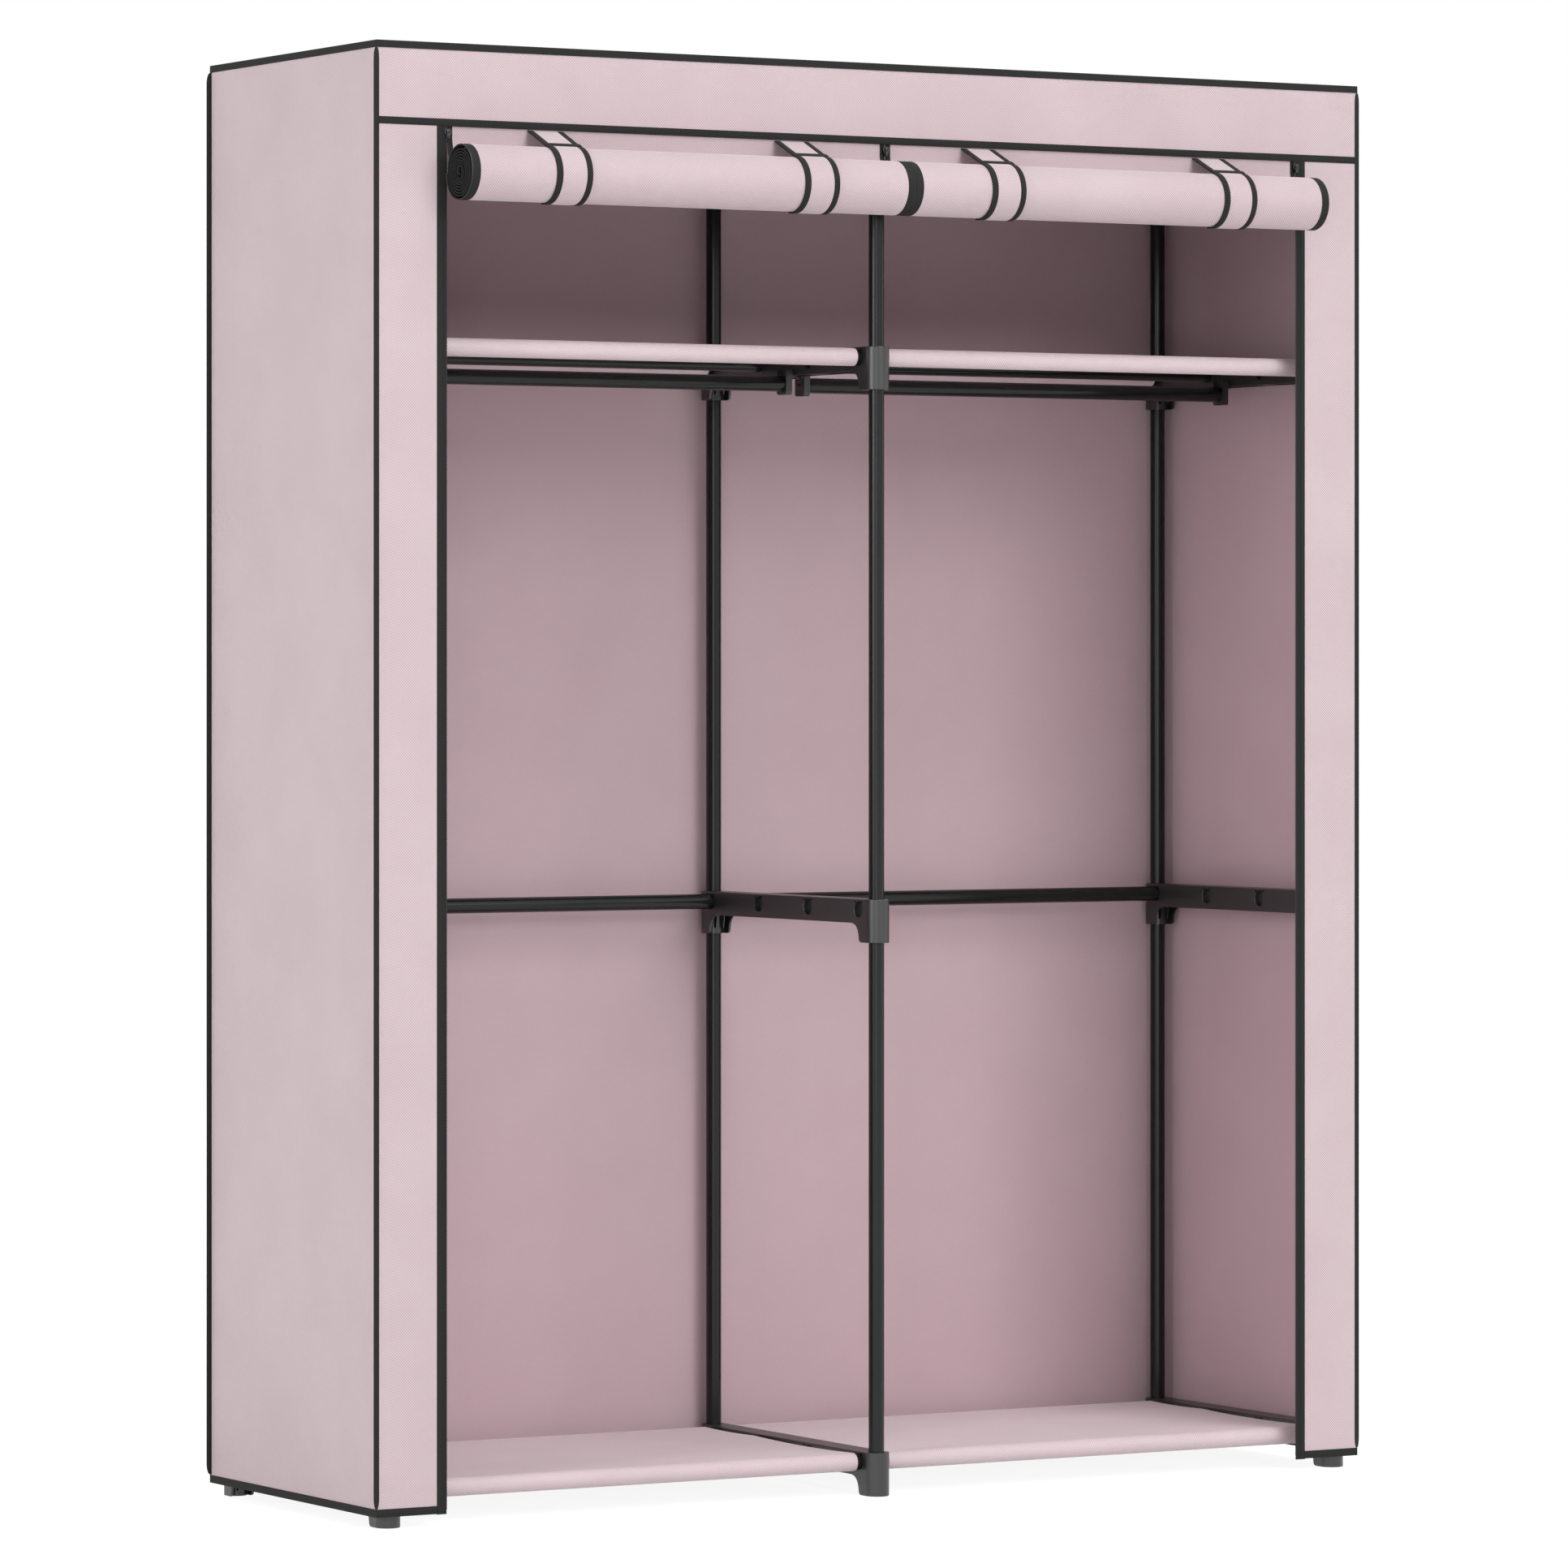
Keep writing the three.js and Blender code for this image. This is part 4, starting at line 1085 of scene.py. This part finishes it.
# Its weave follows the height and not the cloth's run, and so keeps its scale as the cloth stretches
DOOR_CLOTH = new_material("pressed_door_cloth", pressed_cloth, PINK, PINK_FURROW, True)
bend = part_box("zip_slider_centre")[0].z
for bay in ("left", "right"):
    low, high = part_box(f"door_hanging_{bay}")
    roll_low, roll_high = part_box(f"door_roll_{bay}")
    roll_radius = (roll_high.z - roll_low.z) / 2
    line = hanging_line(high.y - COVER_CLOTH / 2, middle_of(f"door_roll_{bay}"), roll_radius, high.z, bend)
    pieces = [cloth_piece(
        f"door_hanging_{bay}_sheet", spread(line, low.x, high.x, 4), HANG_CLOTH, DOOR_CLOTH, body=None,
        nodes=[f"door_hanging_{bay}"], slot="pink_cloth",
    )]
    section = tape_section((0, -EDGE_HALF), (EDGE_TAPE, EDGE_HALF))
    for edge, x, way in (("start", low.x, 1), ("end", high.x, -1)):
        stations = line_stations(line, x, way)
        pieces.append(swept(f"door_zip_tape_{bay}_{edge}", stations, section, ZIP_CLOTH, body=None))
        row = [p + Vector((x, 0, 0)) for p in line[HANG_STEPS:]]
        out = Vector((-way * DOOR_TOOTH, 0, 0))
        pieces.append(teeth(f"door_zip_teeth_{bay}_{edge}", row, out, body=None))
    for piece in pieces:
        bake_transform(piece)

# Doors, rolled: each is wound outwards into eight loose turns, and its start is crushed to an oval with
# the cloth's edge tucked inside. Tape runs down both side edges, so the roll's ends are dark and show
# the turns, and the cloth between them is pink.
ROLL_TURNS = 8
ROLL_PITCH = 0.0033  # from turn to turn
ROLL_TAPE = 0.0016
ROLL_CLOTH = 0.0013
ROLL_STEPS = 48
ROLL_LAP = 0.3  # the part of the first turn in which it dives under its own start
ROLL_CORE = 0.0150  # the radius at which the crushed oval begins
CORE_SQUEEZE = 0.30  # how much shallower and taller it is than round
CORE_STRETCH = 0.10
TUCK_RADIUS = 0.0029
TUCK_TURN = 135  # degrees
TUCK_STEPS = 10
END_BAND = 0.0104
BAND_UNDER = 0.001  # how far the cloth runs on under the tape
END_PAST = 0.0028  # what the left roll winds out past its hanging cloth, up to the jamb's tape


def eased(share):
    share = min(max(share, 0), 1)
    return share * share * (3 - 2 * share)


def roll_line(centre, radius):
    """The wound sheet seen on edge, from its outer end at the back, under the roll and forwards."""
    flat = []
    for i in range(ROLL_TURNS * ROLL_STEPS + 1):
        turn = i / ROLL_STEPS
        lapped = eased((turn - 1) / ROLL_LAP + 1)
        r = radius - ROLL_TAPE / 2 - ROLL_PITCH * (lapped + max(turn - 1, 0))
        angle = -2 * math.pi * turn
        crushed = eased((ROLL_CORE - r) / (ROLL_CORE / 2))
        flat_r, tall_r = r * (1 - CORE_SQUEEZE * crushed), r * (1 + CORE_STRETCH * crushed)
        flat.append(Vector((flat_r * math.cos(angle), tall_r * math.sin(angle))))
    heading = (flat[-1] - flat[-2]).normalized()
    inwards = Vector((heading.y, -heading.x))
    pivot = flat[-1] + inwards * TUCK_RADIUS
    for i in range(1, TUCK_STEPS + 1):
        turn = math.radians(TUCK_TURN * i / TUCK_STEPS)
        back, on = TUCK_RADIUS * math.cos(turn), TUCK_RADIUS * math.sin(turn)
        flat.append(pivot - inwards * back + heading * on)
    return [Vector((0, centre.y + p.x, centre.z + p.y)) for p in flat]


for bay in ("left", "right"):
    door = f"{bay}_door"
    low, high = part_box(f"door_roll_{bay}")
    line = roll_line((low + high) / 2, (high.z - low.z) / 2)
    if bay == "left":
        low.x -= END_PAST
    start, end = low.x + END_BAND - BAND_UNDER, high.x - END_BAND + BAND_UNDER
    roll = cloth_piece(
        f"door_roll_{bay}_sheet", spread(line, start, end, 2), ROLL_CLOTH, PINK_CLOTH, body=door,
        nodes=[f"door_roll_{bay}"], slot="pink_cloth",
    )
    for edge, rim, out in (("start", low.x, -1), ("end", high.x, 1)):
        span = sorted((rim, rim - out * END_BAND))
        cloth_piece(
            f"door_roll_{bay}_band_{edge}", spread(line, *span, 1), ROLL_TAPE, GROSGRAIN, body=door,
        )
        # The right roll's inner teeth lie between the left one's, in the gap between the two rolls
        if bay == "left" or edge == "end":
            row = [p + Vector((rim, 0, 0)) for p in line[:ROLL_STEPS + 1]]
            teeth(f"door_roll_{bay}_teeth_{edge}", row, Vector((out, 0, 0)), body=door)

# Straps: the same cloth with bound edges. Each is sewn under the valance, comes forward to the roll as
# a flap with a bound end, and goes on round the roll's front and under it as a band.
STRAP_CLOTH = 0.0011
STRAP_TAPE = 0.0019  # a bound edge's thickness and its width
STRAP_BORDER = 0.0078
STRAP_INSET = 0.003  # the cloth's edge, in from the binding's
STRAP_END = 0.0062  # how far the flap's bound end reaches back from the bend
STRAP_CORNER = 0.0004
STRAP_GAP = 0.0011  # from the roll to the middle of the cloth
END_FRONT = 0.0012  # past the bend, and under and over the line it follows
END_UNDER = 0.0008
END_OVER = 0.0009
END_LIFT = 0.0009
END_WIDER = 0.0004  # than the strap, at each side
LANDING = 10  # where the band meets the roll and where it ends, in degrees forwards from its top
WRAP = 190
STRAP_STEPS = 36
FLAP_STEPS = 6


def strap_line(root, centre, radius):
    points = []
    for angle in even(LANDING, WRAP, STRAP_STEPS):
        turn = math.radians(angle)
        points.append(Vector((0, centre.y - radius * math.sin(turn), centre.z + radius * math.cos(turn))))
    return even(root, points[0], FLAP_STEPS)[:-1] + points


border = tape_section((0, -STRAP_TAPE / 2), (STRAP_BORDER, STRAP_TAPE / 2), STRAP_CORNER)
flap_end = tape_section((-END_FRONT, -END_UNDER), (STRAP_END, END_OVER), STRAP_CORNER)
for bay in ("left", "right"):
    for place in ("outer", "inner"):
        name = f"roll_strap_{bay}_{place}"
        body = f"{bay}_{place}_strap"
        joint = next(j for j in frame["joints"] if j["child"] == body)
        hinge = Vector(joint["pos_m"])
        low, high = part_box(name)
        roll_low, roll_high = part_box(f"door_roll_{bay}")
        radius = (roll_high.z - roll_low.z) / 2 + STRAP_GAP
        line = strap_line(Vector((0, hinge.y, hinge.z)), (roll_low + roll_high) / 2, radius)
        start, end = low.x + STRAP_INSET, high.x - STRAP_INSET
        strap = cloth_piece(
            f"{name}_cloth", spread(line, start, end, 2), STRAP_CLOTH, PINK_CLOTH, body=body, nodes=[name],
            slot="pink_cloth",
        )
        borders = [
            swept(f"{name}_binding_{edge}", line_stations(line, x, way), border, GROSGRAIN, body=body)
            for edge, x, way in (("start", low.x, 1), ("end", high.x, -1))
        ]
        flap_way = (line[FLAP_STEPS] - line[0]).normalized()
        lift = Vector((0, flap_way.z, -flap_way.y))
        tip = line[FLAP_STEPS] + lift * END_LIFT
        ends = (low.x - END_WIDER, high.x + END_WIDER)
        stations = [(tip + Vector((x, 0, 0)), flap_way * -1, lift) for x in ends]
        borders.append(swept(f"{name}_flap_end", stations, flap_end, GROSGRAIN, body=body))

# Zip sliders: die-cast zinc, enamelled black and glossy. Two plates hold the tapes' edges between
# them, joined by a wedge, and a flat pull hangs from a bridge on the front plate.
PLATE = 0.0014
PLATE_IN = 0.003  # the front plate's back, from the pull's face
REAR_PLATE = 0.0013
PLATE_EDGE = 0.00035
WEDGE_HALF = 0.001
WEDGE_LOW = 0.003  # up from the slider's lower end
WEDGE_HIGH = 0.001  # down from its upper end
BRIDGE_HALF = 0.0011
BRIDGE_LOW = 0.0052  # the bridge's lower and upper side, both down from the slider's upper end
BRIDGE_HIGH = 0.0012
BRIDGE_FACE = 0.0002  # back from the pull's face
BRIDGE_SUNK = 0.0004  # into the front plate
PULL_WIDTH = 0.0042
PULL_LENGTH = 0.0098
PULL_THICK = 0.0009
PULL_CORNER = 0.0014
PULL_FOOT = 0.0006
PULL_EDGE = 0.0002
EYE_HALF = 0.0013
EYE_LOW = 0.0048  # the eye's lower and upper end, down from the pull's top
EYE_HIGH = 0.0014
EYE_CORNER = 0.0008
# Half of the slider seen from the front, as shares of its half width and its height
SLIDER_HALF = (
    (0.55, 0), (0.7, 0.35), (1, 0.62), (1, 0.82), (0.72, 1), (0.2, 1), (0, 0.88),
)


def enamelled_zinc(tree):
    place = add_node(tree, "TexCoord").outputs["Object"]
    wear = add_node(tree, "TexNoise", {"Vector": place, "Scale": 260.0, "Detail": 2.0})
    return {
        "Base Color": between(tree, wear, "0F1010", "1C1D1D"),
        "Roughness": add_node(tree, "MapRange", {"Value": wear, "To Min": 0.16, "To Max": 0.3}),
        "Coat Weight": 0.4,
        "Coat Roughness": 0.12,
    }


ZINC = new_material("enamelled_zinc", enamelled_zinc)
for place in ("left", "centre", "right"):
    name = f"zip_slider_{place}"
    body = f"{place}_slider"
    low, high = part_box(name)
    x = (low.x + high.x) / 2
    half, height = (high.x - low.x) / 2, high.z - low.z
    right_half = [(half * across, low.z + height * up) for across, up in SLIDER_HALF]
    outline = [(x + a, z) for a, z in right_half] + [(x - a, z) for a, z in reversed(right_half[:-1])]
    face = low.y + PLATE_IN - PLATE
    plate = as_object([prism(outline, face, face + PLATE, axis=1)])
    back = prism(outline, high.y - REAR_PLATE, high.y, axis=1)
    wedge = block((x - WEDGE_HALF, face, low.z + WEDGE_LOW), (x + WEDGE_HALF, high.y, high.z - WEDGE_HIGH))
    bridge = block(
        (x - BRIDGE_HALF, low.y + BRIDGE_FACE, high.z - BRIDGE_LOW),
        (x + BRIDGE_HALF, face + BRIDGE_SUNK, high.z - BRIDGE_HIGH),
    )
    worked(plate, ("UNION", [back]), ("UNION", [wedge]), ("UNION", [bridge]))
    round_edges(plate, PLATE_EDGE)
    place_casting(f"{name}_casting", mesh_out_of(plate, ZINC), body=body, nodes=[name], slot="zip_metal")
    foot = low.z + PULL_FOOT
    top = foot + PULL_LENGTH
    pull_outline = rounded_outline((x - PULL_WIDTH / 2, foot), (x + PULL_WIDTH / 2, top), PULL_CORNER)
    pull = as_object([prism(pull_outline, low.y, low.y + PULL_THICK, axis=1)])
    eye = rounded_outline((x - EYE_HALF, top - EYE_LOW), (x + EYE_HALF, top - EYE_HIGH), EYE_CORNER)
    worked(pull, ("DIFFERENCE", [prism(eye, low.y - PAST, low.y + 2 * PAST, axis=1)]))
    round_edges(pull, PULL_EDGE)
    place_piece(f"{name}_pull", mesh_out_of(pull, ZINC), body=body, slot="zip_metal")

bpy.context.view_layer.update()
